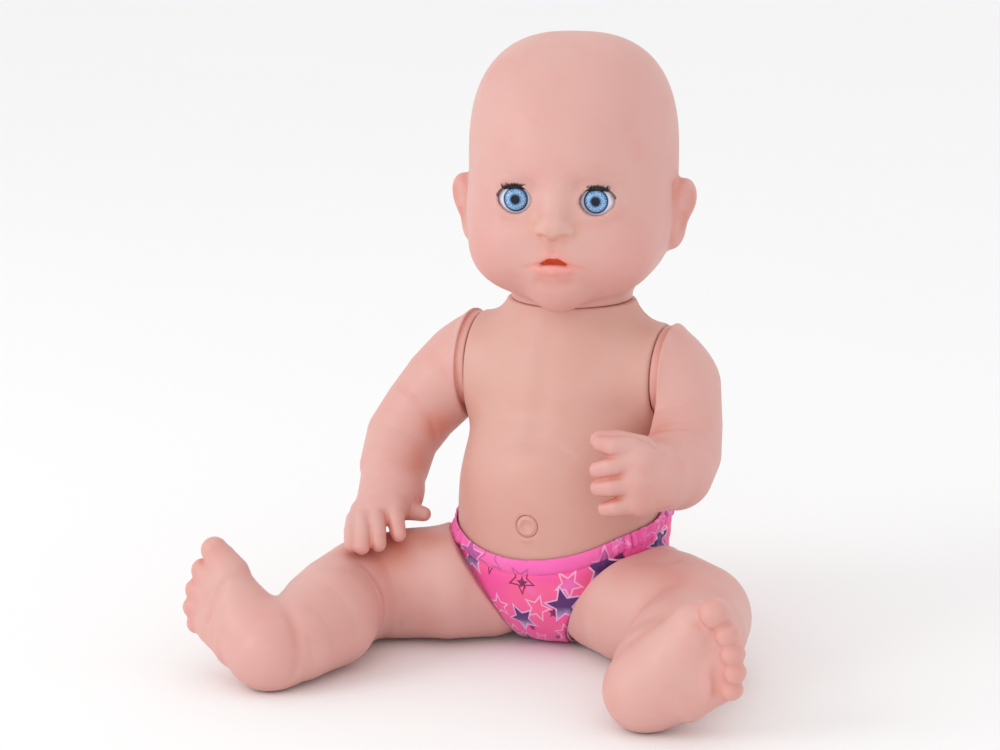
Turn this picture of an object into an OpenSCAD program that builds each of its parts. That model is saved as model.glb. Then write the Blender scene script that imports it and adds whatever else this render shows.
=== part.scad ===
// Interactive baby doll, sitting. Millimetres, +Z up, the doll faces -Y and its own left side is +X.
// The origin is on the floor under the middle of the seat.

/* [Torso] */
// Distance from the middle of the body to each shoulder joint face
shoulder_x = 41.7; // [41:0.1:42.2]
// Height of the shoulder joint axis above the floor
shoulder_z = 115; // [114:0.5:116]
// Height of the flat rim that the neck turns on
neck_z = 145; // [144:0.5:146]
// Wall thickness of the hard torso shell
torso_wall = 2.2; // [1.8:0.1:2.6]
// Thickness of the stretch fabric of the panties
cloth_t = 1.2; // [0.8:0.1:1.4]

/* [Head and limbs] */
// Wall thickness of the soft vinyl head, arms and legs
vinyl_wall = 2.6; // [2:0.1:3]
// Turn of the head to the doll's left, in degrees
head_yaw = 12; // [0:1:20]
// Radius of each sleeping-eye ball
eye_r = 9.5; // [9.2:0.1:9.6]
// Distance from the middle of the face to each eye
eye_x = 16.5; // [16:0.1:17]

/* [Controls] */
// Radius of the navel button
navel_r = 4.6; // [4:0.1:5]
// Travel of the navel button
navel_travel = 1.5; // [1:0.1:1.8]
// Travel of the power switch slider
switch_travel = 4; // [3:0.5:4]

/* [Joints] */
// Radius of each arm plug's neck
arm_pin_r = 9.95; // [8:0.05:11]
// Radius of each leg plug's neck
leg_pin_r = 11.95; // [10:0.05:13]
// Radius of the neck plug's neck
neck_pin_r = 15.95; // [14:0.05:17]
// Radial running clearance of every plug in its bore
running = 0.05; // [0.02:0.01:0.08]

/* [Hidden] */
$fn = 48;
big = 400;                  // larger than the doll, for half-spaces
smooth = 22;                // facets of a hulled ball
medium = 14;                // facets of a palm, a foot or the inside of a limb
fine = 12;                  // facets of a finger or toe
lead = 8;                   // facets of a wire

skin = [0.90, 0.68, 0.63];
torso_skin = [0.88, 0.68, 0.60];
pink = [0.95, 0.25, 0.60];

// Joint frames
shoulder_y = 3;
arm_gap = 0.3;              // between the torso's shoulder face and the arm
arm_recess = 0.4;           // round the arm's root, where it sits in the torso
shoulder_r = 21.5;
hip_c = [33, -12, 22.5];    // centre of the left hip joint face
hip_n = [0.76, -0.33, -0.56];
hip_gap = 0.2;              // from the hip plane to each of the two faces
hip_r = 26.5;
neck_y = 3;
neck_r = 25.5;
plate = 3;                  // thickness of the joint plates in the torso
flange_t = 2.8;             // thickness of the plugs' flanges
flange_gap = 0.3;
seat_z = cloth_t;           // underside of the hard torso, above the cloth

// The vinyl limbs as chains of balls [x, y, z, radius]
left_leg_line = [[45, -20, 23.5, 22.5], [57, -28, 23.5, 23.2], [71, -37, 23, 22.5], [76, -56, 22.5, 21.5],
  [76.5, -78, 22, 21], [75, -98, 19.5, 18.5], [74, -113, 15.8, 15.3]];
left_foot_lines = [[[74, -111, 16, 15.3], [87, -111, 27, 15.5], [97, -112, 42, 12.5]],
  [[87, -111, 26, 15], [101, -112, 27, 10.5]]];
left_toes = [[[99, -113, 45, 9], [106, -114.5, 53, 6.3]], [[103, -113, 38, 8], [111.4, -114, 44, 5]],
  [[104, -113, 32, 8], [112.8, -115, 35.5, 4.7]], [[104, -113, 27, 7.5], [113, -115, 28.2, 4.5]],
  [[103, -112, 22.5, 7.5], [111.8, -113.5, 21.5, 4.3]]];
right_leg_line = [[-45, -21, 23.5, 22.5], [-58, -35, 23, 22.5], [-74, -50, 22, 21.8], [-76.5, -70, 21, 20.5],
  [-74, -93, 21, 20.8], [-76, -112, 19, 18.5], [-82, -125, 15.8, 15.3]];
right_foot_lines = [[[-82, -122, 16, 15.3], [-94, -117, 27, 15.5], [-103, -113, 41, 12.5]],
  [[-94, -117, 26, 15], [-107, -115.5, 26, 10.5]]];
right_toes = [[[-105, -113, 44, 9], [-112.4, -111.2, 51.2, 6.3]],
  [[-109, -113.5, 37, 8], [-117.5, -112, 42.3, 5]],
  [[-110, -114.5, 31, 8], [-119.5, -114.5, 34.5, 4.7]], [[-110.5, -115, 26, 7.5], [-120.2, -116, 27.4, 4.5]],
  [[-109.5, -115, 21.5, 7.5], [-118.8, -116, 20.6, 4.3]]];
left_arm_line = [[50, 1, 110, 18.5], [55, -7, 96, 17.2], [59, -18, 87, 16.5], [60, -34, 83, 16],
  [56, -49, 84, 13.2]];
left_palm_lines = [[[56, -49, 84, 12.5], [53, -60, 93, 8]], [[56, -49, 84, 12.5], [53, -61, 85, 8.2]],
  [[56, -49, 84, 12.5], [53.5, -60, 77.5, 7.5]]];
left_fingers = [[[50, -62, 98, 5], [44.5, -67, 99.5, 4], [39.5, -68, 100.5, 3.2]],
  [[50, -64, 93, 4.8], [44, -68.5, 91.5, 4], [39, -69, 89.8, 3.5]],
  [[50, -64, 84, 4.8], [44.5, -68.5, 83.3, 4], [39.5, -69, 82.5, 3.5]],
  [[51, -63, 76, 4.4], [46, -67.5, 74.8, 3.6], [42, -68, 73.8, 3.1]],
  [[52, -54, 96, 6], [43, -57, 99, 4.8], [36, -59, 99.5, 4]]];
right_arm_line = [[-50, 1, 111, 18.5], [-58, -1, 103, 17.8], [-67, -4, 92, 16.5], [-74.5, -8, 80, 15.8],
  [-74, -18, 69, 15], [-71, -28, 60, 12.8]];
right_palm_lines = [[[-71, -28, 60, 12.3], [-65, -39, 56, 6.8]],
  [[-71, -28, 60, 12.3], [-70.5, -42, 55.5, 6.8]],
  [[-71, -28, 60, 12.3], [-76.5, -43, 54, 6.5]]];
right_fingers = [[[-63.5, -41, 55.5, 4.5], [-60, -47.5, 53, 3.8], [-56.5, -52.5, 48.8, 3.3]],
  [[-70, -45, 54.5, 4.5], [-65.5, -54.5, 52, 3.8], [-61.5, -62, 46.5, 3.4]],
  [[-75, -47, 53, 4.4], [-70, -59, 51, 3.6], [-66.5, -67.5, 46, 3.3]],
  [[-79.5, -47, 51.5, 3.8], [-75.5, -59, 50, 3.1], [-71.5, -68, 46, 2.8]],
  [[-66, -33, 54.5, 5], [-59.5, -32, 53.5, 4], [-54.5, -31, 52.5, 3.2]]];

// Head, in its own frame before it is turned
skull_c = [0, 6, 205];
skull_s = [44.5, 52, 52.5];
jaw_c = [0, -5, 177];
jaw_s = [42, 42, 34];
ear_z = 184;
ear_x = 43;
eye_y = -33;
eye_z = 193;
lid_t = 2.2;
lid_opening = [7.4, 6.2];   // half the width and half the height between the lids
closing = 60;
iris_r = 4.7;
pupil_r = 1.8;
axle_r = 1;
socket_bar = 17.8;            // the bar that joins the two eye sockets
mouth_y = -41;
mouth_z = 168;
mouth_r = 6.5;

// Inside the torso
seam_slope = (shoulder_y - hip_c[1]) / (shoulder_z - hip_c[2]);   // the seam passes shoulders and hips
board_y = -26;
board_z = 66;
board_s = [44, 1.6, 34];
board_pin_r = 1.1;
navel_z = 57;
navel_y = -48;
speaker_z = 117;
speaker_y = 24;
speaker_out_r = 14;
sound_pitch = 3.8;
battery_z = 80;
battery_y = 21;
cell_r = 5.25;
cell_l = 44.5;
cell_pitch = 11.2;
box_s = [54, 13.5, 37];         // battery box, without the part that reaches the shell
door_s = [50, 30];
switch_x = 23;
switch_z = 110;
switch_y = 26.6;
screw_spots = [[-33, 92], [33, 92], [-12, 24], [12, 24]];
screw_r = 1.5;
screw_l = 24;
screw_seat = 14.7;              // from the seam back to the underside of a screw's head
post_r = 3.6;

// ---------- shared shapes ----------

module ball(p, grow = 0, facets = smooth) translate([p[0], p[1], p[2]]) sphere(p[3] + grow, $fn = facets);

module limb(line, grow = 0, facets = smooth)
  for (i = [0:len(line) - 2]) hull() { ball(line[i], grow, facets); ball(line[i + 1], grow, facets); }

module egg(c, s, grow = 0, facets = smooth)
  translate(c) scale([s[0] + grow, s[1] + grow, s[2] + grow]) sphere(1, $fn = facets);

// Turns the local Z axis onto direction n at point c
module along(c, n) translate(c) rotate([0, acos(n[2] / norm(n)), atan2(n[1], n[0])]) children();

module hip(side)
  along([side * hip_c[0], hip_c[1], hip_c[2]], [side * hip_n[0], hip_n[1], hip_n[2]]) children();

module shoulder(side) translate([0, shoulder_y, shoulder_z]) rotate([0, side * 90, 0]) children();

// Everything outside the hip plane, from height t on
module hip_side(side, t) hip(side) translate([-big / 2, -big / 2, t]) cube(big);

module head_frame() translate([0, neck_y, 0]) rotate([0, 0, head_yaw]) translate([0, -neck_y, 0]) children();

// Behind the seam of the torso
module seam_side(back)
  translate([0, shoulder_y, shoulder_z]) rotate([-atan(seam_slope), 0, 0])
    translate([-big / 2, back ? 0 : -big, -big / 2]) cube(big);

// A grooved joint plug: flange, neck and disc along Z, where z = 0 is the outer face of the plate
module plug(neck, flange, disc, gap, bore = 0) difference() {
  union() {
    translate([0, 0, -plate - flange_gap - flange_t]) cylinder(r = flange, h = flange_t);
    translate([0, 0, -plate - flange_gap - 0.5]) cylinder(r = neck, h = plate + flange_gap + gap + 2.6);
    translate([0, 0, gap + 2.05]) cylinder(r = disc, h = flange_t);
  }
  if (bore > 0) translate([0, 0, -big / 8]) cylinder(r = bore, h = big / 4);
}

// Two parallel insulated leads along the same points, gap apart in X
module lead_pair(points, r, gap) for (x = [0, gap])
  limb([for (p = points) [p[0] + x, p[1], p[2], r]], facets = lead);

// ---------- torso ----------

// The outside of the torso, or with a negative grow its inside, which leaves a plate at each joint
module torso_form(grow) hull() {
  cut = grow < 0 ? plate : 0;
  translate([0, neck_y, neck_z - 3 - cut]) cylinder(r = neck_r + grow, h = 3);
  translate([-shoulder_x + cut, shoulder_y, shoulder_z]) rotate([0, 90, 0])
    cylinder(r = shoulder_r + grow, h = 2 * (shoulder_x - cut));
  egg([0, 3, 108], [41, 31.5, 34], grow);
  egg([0, -5, 68], [45, 43, 40], grow);
  egg([0, -9, 36], [44.5, 38.5, 38], grow);
}

module torso_block(grow, inset) difference() {
  torso_form(grow);
  for (side = [-1, 1]) hip_side(side, -hip_gap - inset);
  translate([-big / 2, -big / 2, seat_z + inset - big]) cube(big);
}

// At each screw, with y = 0 under the screw's head
module screw_places() for (p = screw_spots)
  translate([p[0], shoulder_y + (p[1] - shoulder_z) * seam_slope + screw_seat, p[1]])
    rotate([-90, 0, 0]) children();

module screw_posts() screw_places() cylinder(r = post_r, h = big / 2, center = true);

module screw_holes() screw_places() translate([0, 0, -screw_l]) cylinder(r = screw_r, h = screw_l + 1);

// The plates behind the arms' roots
module shoulder_plates() for (side = [-1, 1]) shoulder(side) translate([0, 0, shoulder_x - plate])
  cylinder(r = shoulder_r + arm_recess + torso_wall, h = plate * 3);

module board_corners() for (x = [-1, 1], z = [-1, 1])
  translate([x * (board_s[0] / 2 - 3), board_y, board_z + z * (board_s[2] / 2 - 3)])
    rotate([90, 0, 0]) children();

module board_posts() board_corners() {
  translate([0, 0, board_s[1] / 2 + 0.05]) cylinder(r = 2.6, h = 40);
  translate([0, 0, -board_s[1] / 2 - 0.6]) cylinder(r = board_pin_r, h = 10);
}

module speaker_ring() translate([0, speaker_y - 5, speaker_z]) rotate([-90, 0, 0]) difference() {
  cylinder(r = speaker_out_r + 2, h = 20);
  translate([0, 0, -1]) cylinder(r = speaker_out_r + 0.1, h = 22);
}

module torso_shell() difference() {
  torso_block(0, 0);
  difference() {
    torso_block(-torso_wall, plate);
    screw_posts();
    speaker_ring();
    board_posts();
    shoulder_plates();
  }
  screw_holes();
  for (side = [-1, 1]) {
    shoulder(side) {
      translate([0, 0, shoulder_x - plate - 1]) cylinder(r = arm_pin_r + running, h = 12);
      translate([0, 0, shoulder_x]) cylinder(r = shoulder_r + arm_recess, h = 12);
    }
    hip(side) translate([0, 0, -plate - 2]) cylinder(r = leg_pin_r + running, h = 12);
  }
  translate([0, neck_y, neck_z - plate - 2]) cylinder(r = neck_pin_r + running, h = 12);
}

module torso_front_shell() color(torso_skin) difference() {
  torso_shell();
  seam_side(true);
  translate([0, navel_y + 12, navel_z]) rotate([90, 0, 0]) cylinder(r = navel_r + running + 0.1, h = 30);
}

module torso_back_shell() color(torso_skin) difference() {
  torso_shell();
  seam_side(false);
  // opening for the battery door, the slider's slot and the speaker's sound holes
  translate([-door_s[0] / 2, 14, battery_z - door_s[1] / 2]) cube([door_s[0], 40, door_s[1]]);
  translate([switch_x - 2.4, 20, switch_z - 4.3]) cube([4.8, 30, 8.6]);
  translate([0, 20, speaker_z]) rotate([-90, 0, 0]) for (ring = [0:2], k = [0:max(0, ring * 6 - 1)])
    rotate([0, 0, k * 60 / max(1, ring)]) translate([ring * sound_pitch, 0, 0]) cylinder(r = 1.1, h = 30);
  screw_places() cylinder(r = screw_r + 1.3, h = 40);
}

// A screw with a cross in its head; z = 0 is under the head
module screw(head_r, head_h, r, length) {
  difference() {
    cylinder(r = head_r, h = head_h);
    for (a = [0, 90]) rotate([0, 0, a]) translate([-1.4, -0.25, head_h - 0.9]) cube([2.8, 0.5, 1]);
  }
  translate([0, 0, -length]) cylinder(r = r, h = length + 0.1);
}

module torso_screws() color("silver") screw_places() translate([0, 0, 0.05])
  screw(screw_r + 1.1, 2, screw_r - 0.1, screw_l - 2);

// ---------- panties ----------

waist_tilt = 13;            // the waistline runs down to the front, under the belly
waist_z = 54;               // waistline height at y = -9
leg_edge = 2.6;             // from the hip plane to the edge of the leg opening
cloth_air = 0.15;           // between the cloth and the hard torso

module pelvis_form(grow) hull() {
  egg([0, -5, 68], [45, 43, 40], grow);
  egg([0, -9, 36], [44.5, 38.5, 38], grow);
}

module above_waist(z) translate([0, -9, z]) rotate([waist_tilt, 0, 0])
  translate([-big / 2, -big / 2, 0]) cube(big);

module panties() color(pink) difference() {
  pelvis_form(cloth_air + cloth_t);
  difference() {
    torso_form(cloth_air);
    translate([-big / 2, -big / 2, seat_z - 0.05 - big]) cube(big);
  }
  translate([-big / 2, -big / 2, -big]) cube(big);
  above_waist(waist_z);
  for (side = [-1, 1]) hip_side(side, -leg_edge);
}

module waist_elastic() color("white") difference() {
  pelvis_form(cloth_air + cloth_t + 1);
  pelvis_form(cloth_air + cloth_t + 0.05);
  above_waist(waist_z - 1);
  for (side = [-1, 1]) hip_side(side, -leg_edge);
  difference() {
    translate([-big / 2, -big / 2, -big / 2]) cube(big);
    above_waist(waist_z - 6);
  }
}

module leg_elastics() color("white") for (side = [-1, 1]) difference() {
  pelvis_form(cloth_air + cloth_t + 0.7);
  pelvis_form(cloth_air + cloth_t + 0.05);
  hip_side(side, -leg_edge - 0.5);
  difference() {
    translate([-big / 2, -big / 2, -big / 2]) cube(big);
    hip_side(side, -leg_edge - 3);
  }
  above_waist(waist_z - 8);
  translate([-big / 2, -big / 2, -big + 3]) cube(big);
}

// ---------- electronics ----------

module circuit_board() color("darkgreen") difference() {
  translate([0, board_y, board_z]) cube(board_s, center = true);
  board_corners() cylinder(r = board_pin_r + 0.1, h = 4, center = true);
}

module board_components() color("black") translate([0, board_y + board_s[1] / 2, board_z]) {
  translate([-6, 0, -6]) cube([12, 1.8, 12]);
  for (x = [-15, 14]) translate([x, 0, 8]) rotate([-90, 0, 0]) cylinder(r = 2.5, h = 6);
  for (x = [-16:4:-8]) translate([x, 0, -12]) cube([2, 0.8, 1.2]);
  translate([10, 0, -13]) cube([8, 4, 4]);
}

module belly_switch() color("dimgray") translate([0, board_y - board_s[1] / 2, navel_z]) rotate([90, 0, 0]) {
  translate([-3, -3, 0]) cube([6, 6, 3.5]);
  translate([0, 0, 3.5]) cylinder(r = 1.75, h = 1);
}

module speaker_at(y) translate([0, y, speaker_z]) rotate([-90, 0, 0]) children();

module speaker_frame() color("dimgray") speaker_at(speaker_y) difference() {
  translate([0, 0, -4]) cylinder(r = speaker_out_r, h = 4);
  translate([0, 0, -5]) cylinder(r = speaker_out_r - 1.6, h = 6);
}

module speaker_cone() color("black") speaker_at(speaker_y) rotate_extrude()
  polygon([[0, -2.2], [4, -2.8], [12.2, -0.9], [12.2, -0.2], [4, -2], [0, -1.2]]);

module speaker_magnet() color("silver") speaker_at(speaker_y) difference() {
  union() {
    translate([0, 0, -9]) cylinder(r = 7.5, h = 4.6);
    for (a = [0, 90]) rotate([0, 0, a]) translate([-13.5, -1.5, -5]) cube([27, 3, 0.9]);
  }
  translate([0, 0, -10]) cylinder(r = 1, h = 3);
}

module battery_box() color("dimgray") difference() {
  intersection() {
    torso_form(-torso_wall - 0.05);
    translate([-box_s[0] / 2, battery_y - box_s[1] / 2, battery_z - box_s[2] / 2])
      cube([box_s[0], 40, box_s[2]]);
  }
  translate([-box_s[0] / 2 + 1.5, battery_y - box_s[1] / 2 + 1.5, battery_z - box_s[2] / 2 + 1.5])
    cube([box_s[0] - 3, 40, box_s[2] - 3]);
}

module cells() for (k = [-1:1])
  translate([0, battery_y, battery_z + k * cell_pitch]) rotate([0, 90, 0]) children();

module batteries() color("goldenrod") cells() {
  translate([0, 0, -cell_l / 2]) cylinder(r = cell_r, h = cell_l - 1);
  translate([0, 0, cell_l / 2 - 1]) cylinder(r = 1.9, h = 1);
}

module battery_contacts() color("silver") cells() {
  translate([-3.5, -3.5, cell_l / 2 + 2.6]) cube([7, 7, 0.4]);
  translate([0, 0, cell_l / 2 + 0.1]) cylinder(r = 2.5, h = 2.4);
  translate([0, 0, -cell_l / 2 - 3]) cylinder(r = 2.5, h = 2.9);
}

module switch_housing() color("dimgray") difference() {
  intersection() {
    torso_form(-torso_wall - 0.05);
    translate([switch_x - 5, switch_y - 9, switch_z - 8]) cube([10, 20, 16]);
  }
  translate([switch_x - 3.2, switch_y - 6, switch_z - 6.2]) cube([6.4, 20, 12.4]);
}

battery_lead = [[-20, 13.4, 92], [-20, 6, 91], [-16, -4, 87], [-12, -14, 83], [-12, -24.4, 80]];
speaker_lead = [[6, 13.5, 114], [7, 6, 108], [8, -4, 98], [8, -14, 88], [8, -24.4, 80]];

module battery_wires() color("red") lead_pair(battery_lead, 0.7, 1.9);

module speaker_wires() color("black") lead_pair(speaker_lead, 0.6, 1.9);

// ---------- controls ----------

module battery_door() color(torso_skin) difference() {
  intersection() {
    torso_form(0);
    translate([-door_s[0] / 2 + 0.4, battery_y + box_s[1] / 2 + 0.4, battery_z - door_s[1] / 2 + 0.4])
      cube([door_s[0] - 0.8, 40, door_s[1] - 0.8]);
  }
  difference() {
    torso_form(-torso_wall);
    translate([0, 10, battery_z + 10]) rotate([-90, 0, 0]) cylinder(r = 4.2, h = 40);
  }
  translate([0, 20, battery_z + 10]) rotate([-90, 0, 0]) cylinder(r = 1.3, h = 40);
  translate([0, battery_y + box_s[1] / 2 + 4, battery_z + 10]) rotate([-90, 0, 0]) cylinder(r = 2.8, h = 40);
}

module battery_door_screw() color("silver")
  translate([0, battery_y + box_s[1] / 2 + 4.05, battery_z + 10])
    rotate([-90, 0, 0]) screw(2.5, 1.8, 1.25, 3.6);

module switch_slider() color("white") translate([switch_x, switch_y, switch_z - switch_travel / 2]) {
  translate([-2.9, -5.5, -3.5]) cube([5.8, 2.4, 7]);
  translate([-2.1, -3.3, -2]) cube([4.2, 7, 4]);
}

module navel_at(y) translate([0, y, navel_z]) rotate([90, 0, 0]) children();

module navel_button() color(torso_skin) {
  navel_at(navel_y + 3.2) cylinder(r = navel_r, h = 4.6);
  navel_at(navel_y + 4) cylinder(r = navel_r + 1.6, h = 0.85);
  navel_at(navel_y + 15.1) cylinder(r = 1.6, h = 11.6);
}

// A round wire wound round the Z axis, as rings of sides points along the coil
module coil(r, wire, turns, length, steps = 10, sides = 6) {
  last = turns * steps;
  points = [for (i = [0:last], k = [0:sides - 1])
    let (a = 360 * i / steps, b = 360 * k / sides, d = r + wire * cos(b))
    [d * cos(a), d * sin(a), length * i / last + wire * sin(b)]];
  walls = [for (i = [0:last - 1], k = [0:sides - 1])
    let (m = (k + 1) % sides)
    [i * sides + k, i * sides + m, (i + 1) * sides + m, (i + 1) * sides + k]];
  ends = [[for (k = [sides - 1:-1:0]) k], [for (k = [0:sides - 1]) last * sides + k]];
  polyhedron(points, concat(ends, walls));
}

// The spring stands on the board, round the belly switch, and lifts the button's flange
module navel_spring() color("silver") navel_at(board_y - board_s[1] / 2 - 0.5) coil(5.2, 0.4, 5, 16);

// ---------- head ----------

module skull(grow, facets) hull() {
  egg(skull_c, skull_s, grow, facets);
  egg(jaw_c, jaw_s, grow, facets);
}

module head_skin() {
  skull(0, 32);
  for (side = [-1, 1]) {
    ball([side * eye_x, eye_y, eye_z, eye_r + lid_t]);
    hull() { ball([side * ear_x, 3, ear_z + 6, 5]); ball([side * (ear_x + 5), 5, ear_z + 7, 4]); }
    hull() { ball([side * (ear_x + 5), 5, ear_z + 7, 4]); ball([side * (ear_x + 3.5), 2, ear_z - 4, 3.5]); }
    hull() { ball([side * 18, -32, 176, 14]); ball([side * 12, -32, 172, 14]); }
    hull() { ball([side * 4.5, -46, 182, 3.6]); ball([0, -40, 188, 4]); }
  }
  hull() { ball([0, -49, 183.5, 4.2]); ball([0, -41, 194, 4]); }
  hull() { ball([-5, -45, 169.5, 3]); ball([5, -45, 169.5, 3]); }
  hull() { ball([0, -39, 157, 9]); ball([0, -34, 160, 10]); }
  translate([0, neck_y, neck_z + arm_gap]) cylinder(r = neck_r, h = 16);
}

module head_shell() color(skin) head_frame() difference() {
  head_skin();
  difference() {
    skull(-vinyl_wall, medium);
    translate([-big / 2, -big / 2, neck_z + 6 - big]) cube(big);
  }
  translate([-big / 2, -big / 2, neck_z + arm_gap - big]) cube(big);
  for (side = [-1, 1]) {
    translate([side * eye_x, eye_y, eye_z]) {
      sphere(eye_r + 0.6, $fn = 32);
      translate([0, -0.25, 0]) rotate([-90, 0, 0]) cylinder(r = eye_r + 3, h = 12);
      rotate([90, 0, 0]) scale([lid_opening[0], lid_opening[1], 1]) cylinder(r = 1, h = 30, $fn = 32);
      rotate([0, 90, 0]) cylinder(r = axle_r + 0.3, h = 2 * (eye_r + 2.6), center = true, $fn = 16);
    }
  }
  translate([0, mouth_y + 12, mouth_z]) rotate([90, 0, 0]) scale([1, 0.45, 1]) cylinder(r = mouth_r, h = 30);
  translate([0, mouth_y + 15, mouth_z]) rotate([90, 0, 0]) cylinder(r = mouth_r + 1.2, h = 15.5);
  translate([0, neck_y, neck_z - 1]) cylinder(r = neck_pin_r + 0.4, h = 9);
  translate([0, neck_y, neck_z + arm_gap + 2]) cylinder(r = neck_pin_r + 3.2, h = 5);
}

module neck_plug() color("ivory") translate([0, neck_y, neck_z])
  plug(neck_pin_r, neck_pin_r + 3, neck_pin_r + 2.8, arm_gap, 4);

// The back half of a round eye socket
module eye_socket() rotate([-90, 0, 0]) rotate_extrude() difference() {
  circle(eye_r + 2.4);
  circle(eye_r + 0.4);
  translate([-big, -big / 2]) square(big);
  translate([-big / 2, -big - 0.2]) square(big);
}

module eye_carrier() color("ivory") head_frame() difference() {
  union() {
    for (side = [-1, 1]) translate([side * eye_x, eye_y, eye_z]) eye_socket();
    translate([-socket_bar / 2, eye_y + 6, eye_z + 3]) cube([socket_bar, 4, 4]);
  }
  translate([-big / 2, eye_y, eye_z]) rotate([0, 90, 0]) cylinder(r = axle_r + running, h = big);
}

module mouth_cup() color([0.86, 0.40, 0.33]) head_frame()
  translate([0, mouth_y + 0.4, mouth_z]) rotate([-90, 0, 0]) difference() {
    cylinder(r = mouth_r + 1, h = 13);
    translate([0, 0, -1]) cylinder(r = mouth_r - 0.6, h = 12);
  }

module mouth_switch() color("dimgray") head_frame() translate([-3.5, mouth_y + 13.45, mouth_z - 3]) {
  cube([7, 4, 6]);
  translate([1, 4, 2.5]) cube([1, 2, 1]);
  translate([5, 4, 2.5]) cube([1, 2, 1]);
}

mouth_lead = [[-1, mouth_y + 20.1, mouth_z], [-1, -14, mouth_z - 1], [-1, -5, mouth_z - 4],
  [-1, 2, neck_z + 14], [-1, neck_y, neck_z - 9]];

module mouth_wires() color("red") head_frame() lead_pair(mouth_lead, 0.6, 2);

// ---------- sleeping eyes ----------

module each_eye() head_frame() for (side = [-1, 1]) translate([side * eye_x, eye_y, eye_z]) children();

// A ball turned about the X axis, bored for the axle, with a pocket for the iris
module eyeballs() color("white") each_eye() difference() {
  rotate([0, 90, 0]) rotate_extrude() difference() {
    circle(eye_r);
    translate([-big, -big / 2]) square([big + axle_r, big]);
  }
  rotate([90, 0, 0]) translate([0, 0, eye_r - 2.2]) cylinder(r = iris_r, h = 4);
}

module iris_cap(r, from, outer) intersection() {
  sphere(outer);
  rotate([90, 0, 0]) translate([0, 0, from]) cylinder(r = r, h = 6);
}

module irises() color("steelblue") each_eye() difference() {
  iris_cap(iris_r, eye_r - 2.2, eye_r);
  rotate([90, 0, 0]) translate([0, 0, eye_r - 1.2]) cylinder(r = pupil_r, h = 6);
}

module pupils() color("black") each_eye() rotate([90, 0, 0]) translate([0, 0, eye_r - 1.2])
  cylinder(r = pupil_r, h = 1);

// A strip along the upper lid that fits its socket, and longer lashes in the middle of the opening
module eyelashes() color("black") each_eye() rotate([-closing / 2, 0, 0]) difference() {
  union() {
    cylinder(r = eye_r + 0.43, h = 0.3, center = true);
    translate([-2.8, -eye_r - 1.6, -0.15]) cube([5.6, 4, 0.3]);
  }
  cylinder(r = eye_r + 0.02, h = 2, center = true);
  translate([-big / 2, -eye_r * 0.68, -1]) cube([big, big, 2]);
}

module eye_axle() color("silver") head_frame() translate([0, eye_y, eye_z]) rotate([0, 90, 0])
  cylinder(r = axle_r, h = 2 * (eye_x + eye_r + 1.9), center = true);

module eye_weight() color("silver") head_frame() {
  difference() {
    translate([-1.5, eye_y - 2, eye_z - 12]) cube([3, 4, 14]);
    translate([-5, eye_y, eye_z]) rotate([0, 90, 0]) cylinder(r = axle_r, h = 10);
  }
  translate([-4, eye_y + 3, eye_z - 12.5]) rotate([0, 90, 0]) cylinder(r = 3.5, h = 8);
}

// ---------- limbs ----------

// The arm's inner side: a disc against the shoulder, and a step that clears the torso's side
module arm_inside(side) shoulder(side) {
  translate([0, 0, -big / 2]) cylinder(r = shoulder_r, h = big / 2 + shoulder_x + arm_gap);
  difference() {
    translate([0, 0, -big / 2]) cylinder(r = big / 2, h = big / 2 + 45.4);
    translate([0, 0, -big]) cylinder(r = shoulder_r, h = 2 * big);
  }
}

module arm(side, line, palm_lines, fingers) color(skin) difference() {
  union() {
    hull() {
      shoulder(side) translate([0, 0, shoulder_x + arm_gap]) cylinder(r = shoulder_r - 0.6, h = 2, $fn = 40);
      ball(line[0]);
    }
    limb(line);
    for (part = palm_lines) limb(part, facets = medium);
    for (part = fingers) limb(part, facets = fine);
  }
  limb(line, -vinyl_wall, facets = medium);
  arm_inside(side);
  shoulder(side) {
    translate([0, 0, shoulder_x - 1]) cylinder(r = arm_pin_r + 0.3, h = 6);
    translate([0, 0, shoulder_x + arm_gap + 2]) cylinder(r = arm_pin_r + 4, h = flange_t + 0.6);
  }
}

module arm_plug(side) color("ivory") shoulder(side) translate([0, 0, shoulder_x])
  plug(arm_pin_r, arm_pin_r + 3, arm_pin_r + 3.5, arm_gap);

module leg(side, line, foot_lines, toes) color(skin) difference() {
  union() {
    hull() {
      hip(side) translate([0, 0, hip_gap]) cylinder(r = hip_r, h = 2, $fn = 40);
      ball(line[0]);
    }
    limb(line);
    for (part = foot_lines) limb(part, facets = medium);
    for (part = toes) limb(part, facets = fine);
  }
  limb(line, -vinyl_wall, facets = medium);
  hip(side) {
    translate([-big / 2, -big / 2, hip_gap - big]) cube(big);
    cylinder(r = leg_pin_r + 0.3, h = 6);
    translate([0, 0, hip_gap + 2]) cylinder(r = leg_pin_r + 5, h = flange_t + 0.6);
  }
}

module leg_plug(side) color("ivory") hip(side) translate([0, 0, -hip_gap])
  plug(leg_pin_r, leg_pin_r + 3, leg_pin_r + 4.5, 2 * hip_gap);

module left_arm() arm(1, left_arm_line, left_palm_lines, left_fingers);
module right_arm() arm(-1, right_arm_line, right_palm_lines, right_fingers);
module left_arm_plug() arm_plug(1);
module right_arm_plug() arm_plug(-1);
module left_leg() leg(1, left_leg_line, left_foot_lines, left_toes);
module right_leg() leg(-1, right_leg_line, right_foot_lines, right_toes);
module left_leg_plug() leg_plug(1);
module right_leg_plug() leg_plug(-1);

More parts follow.
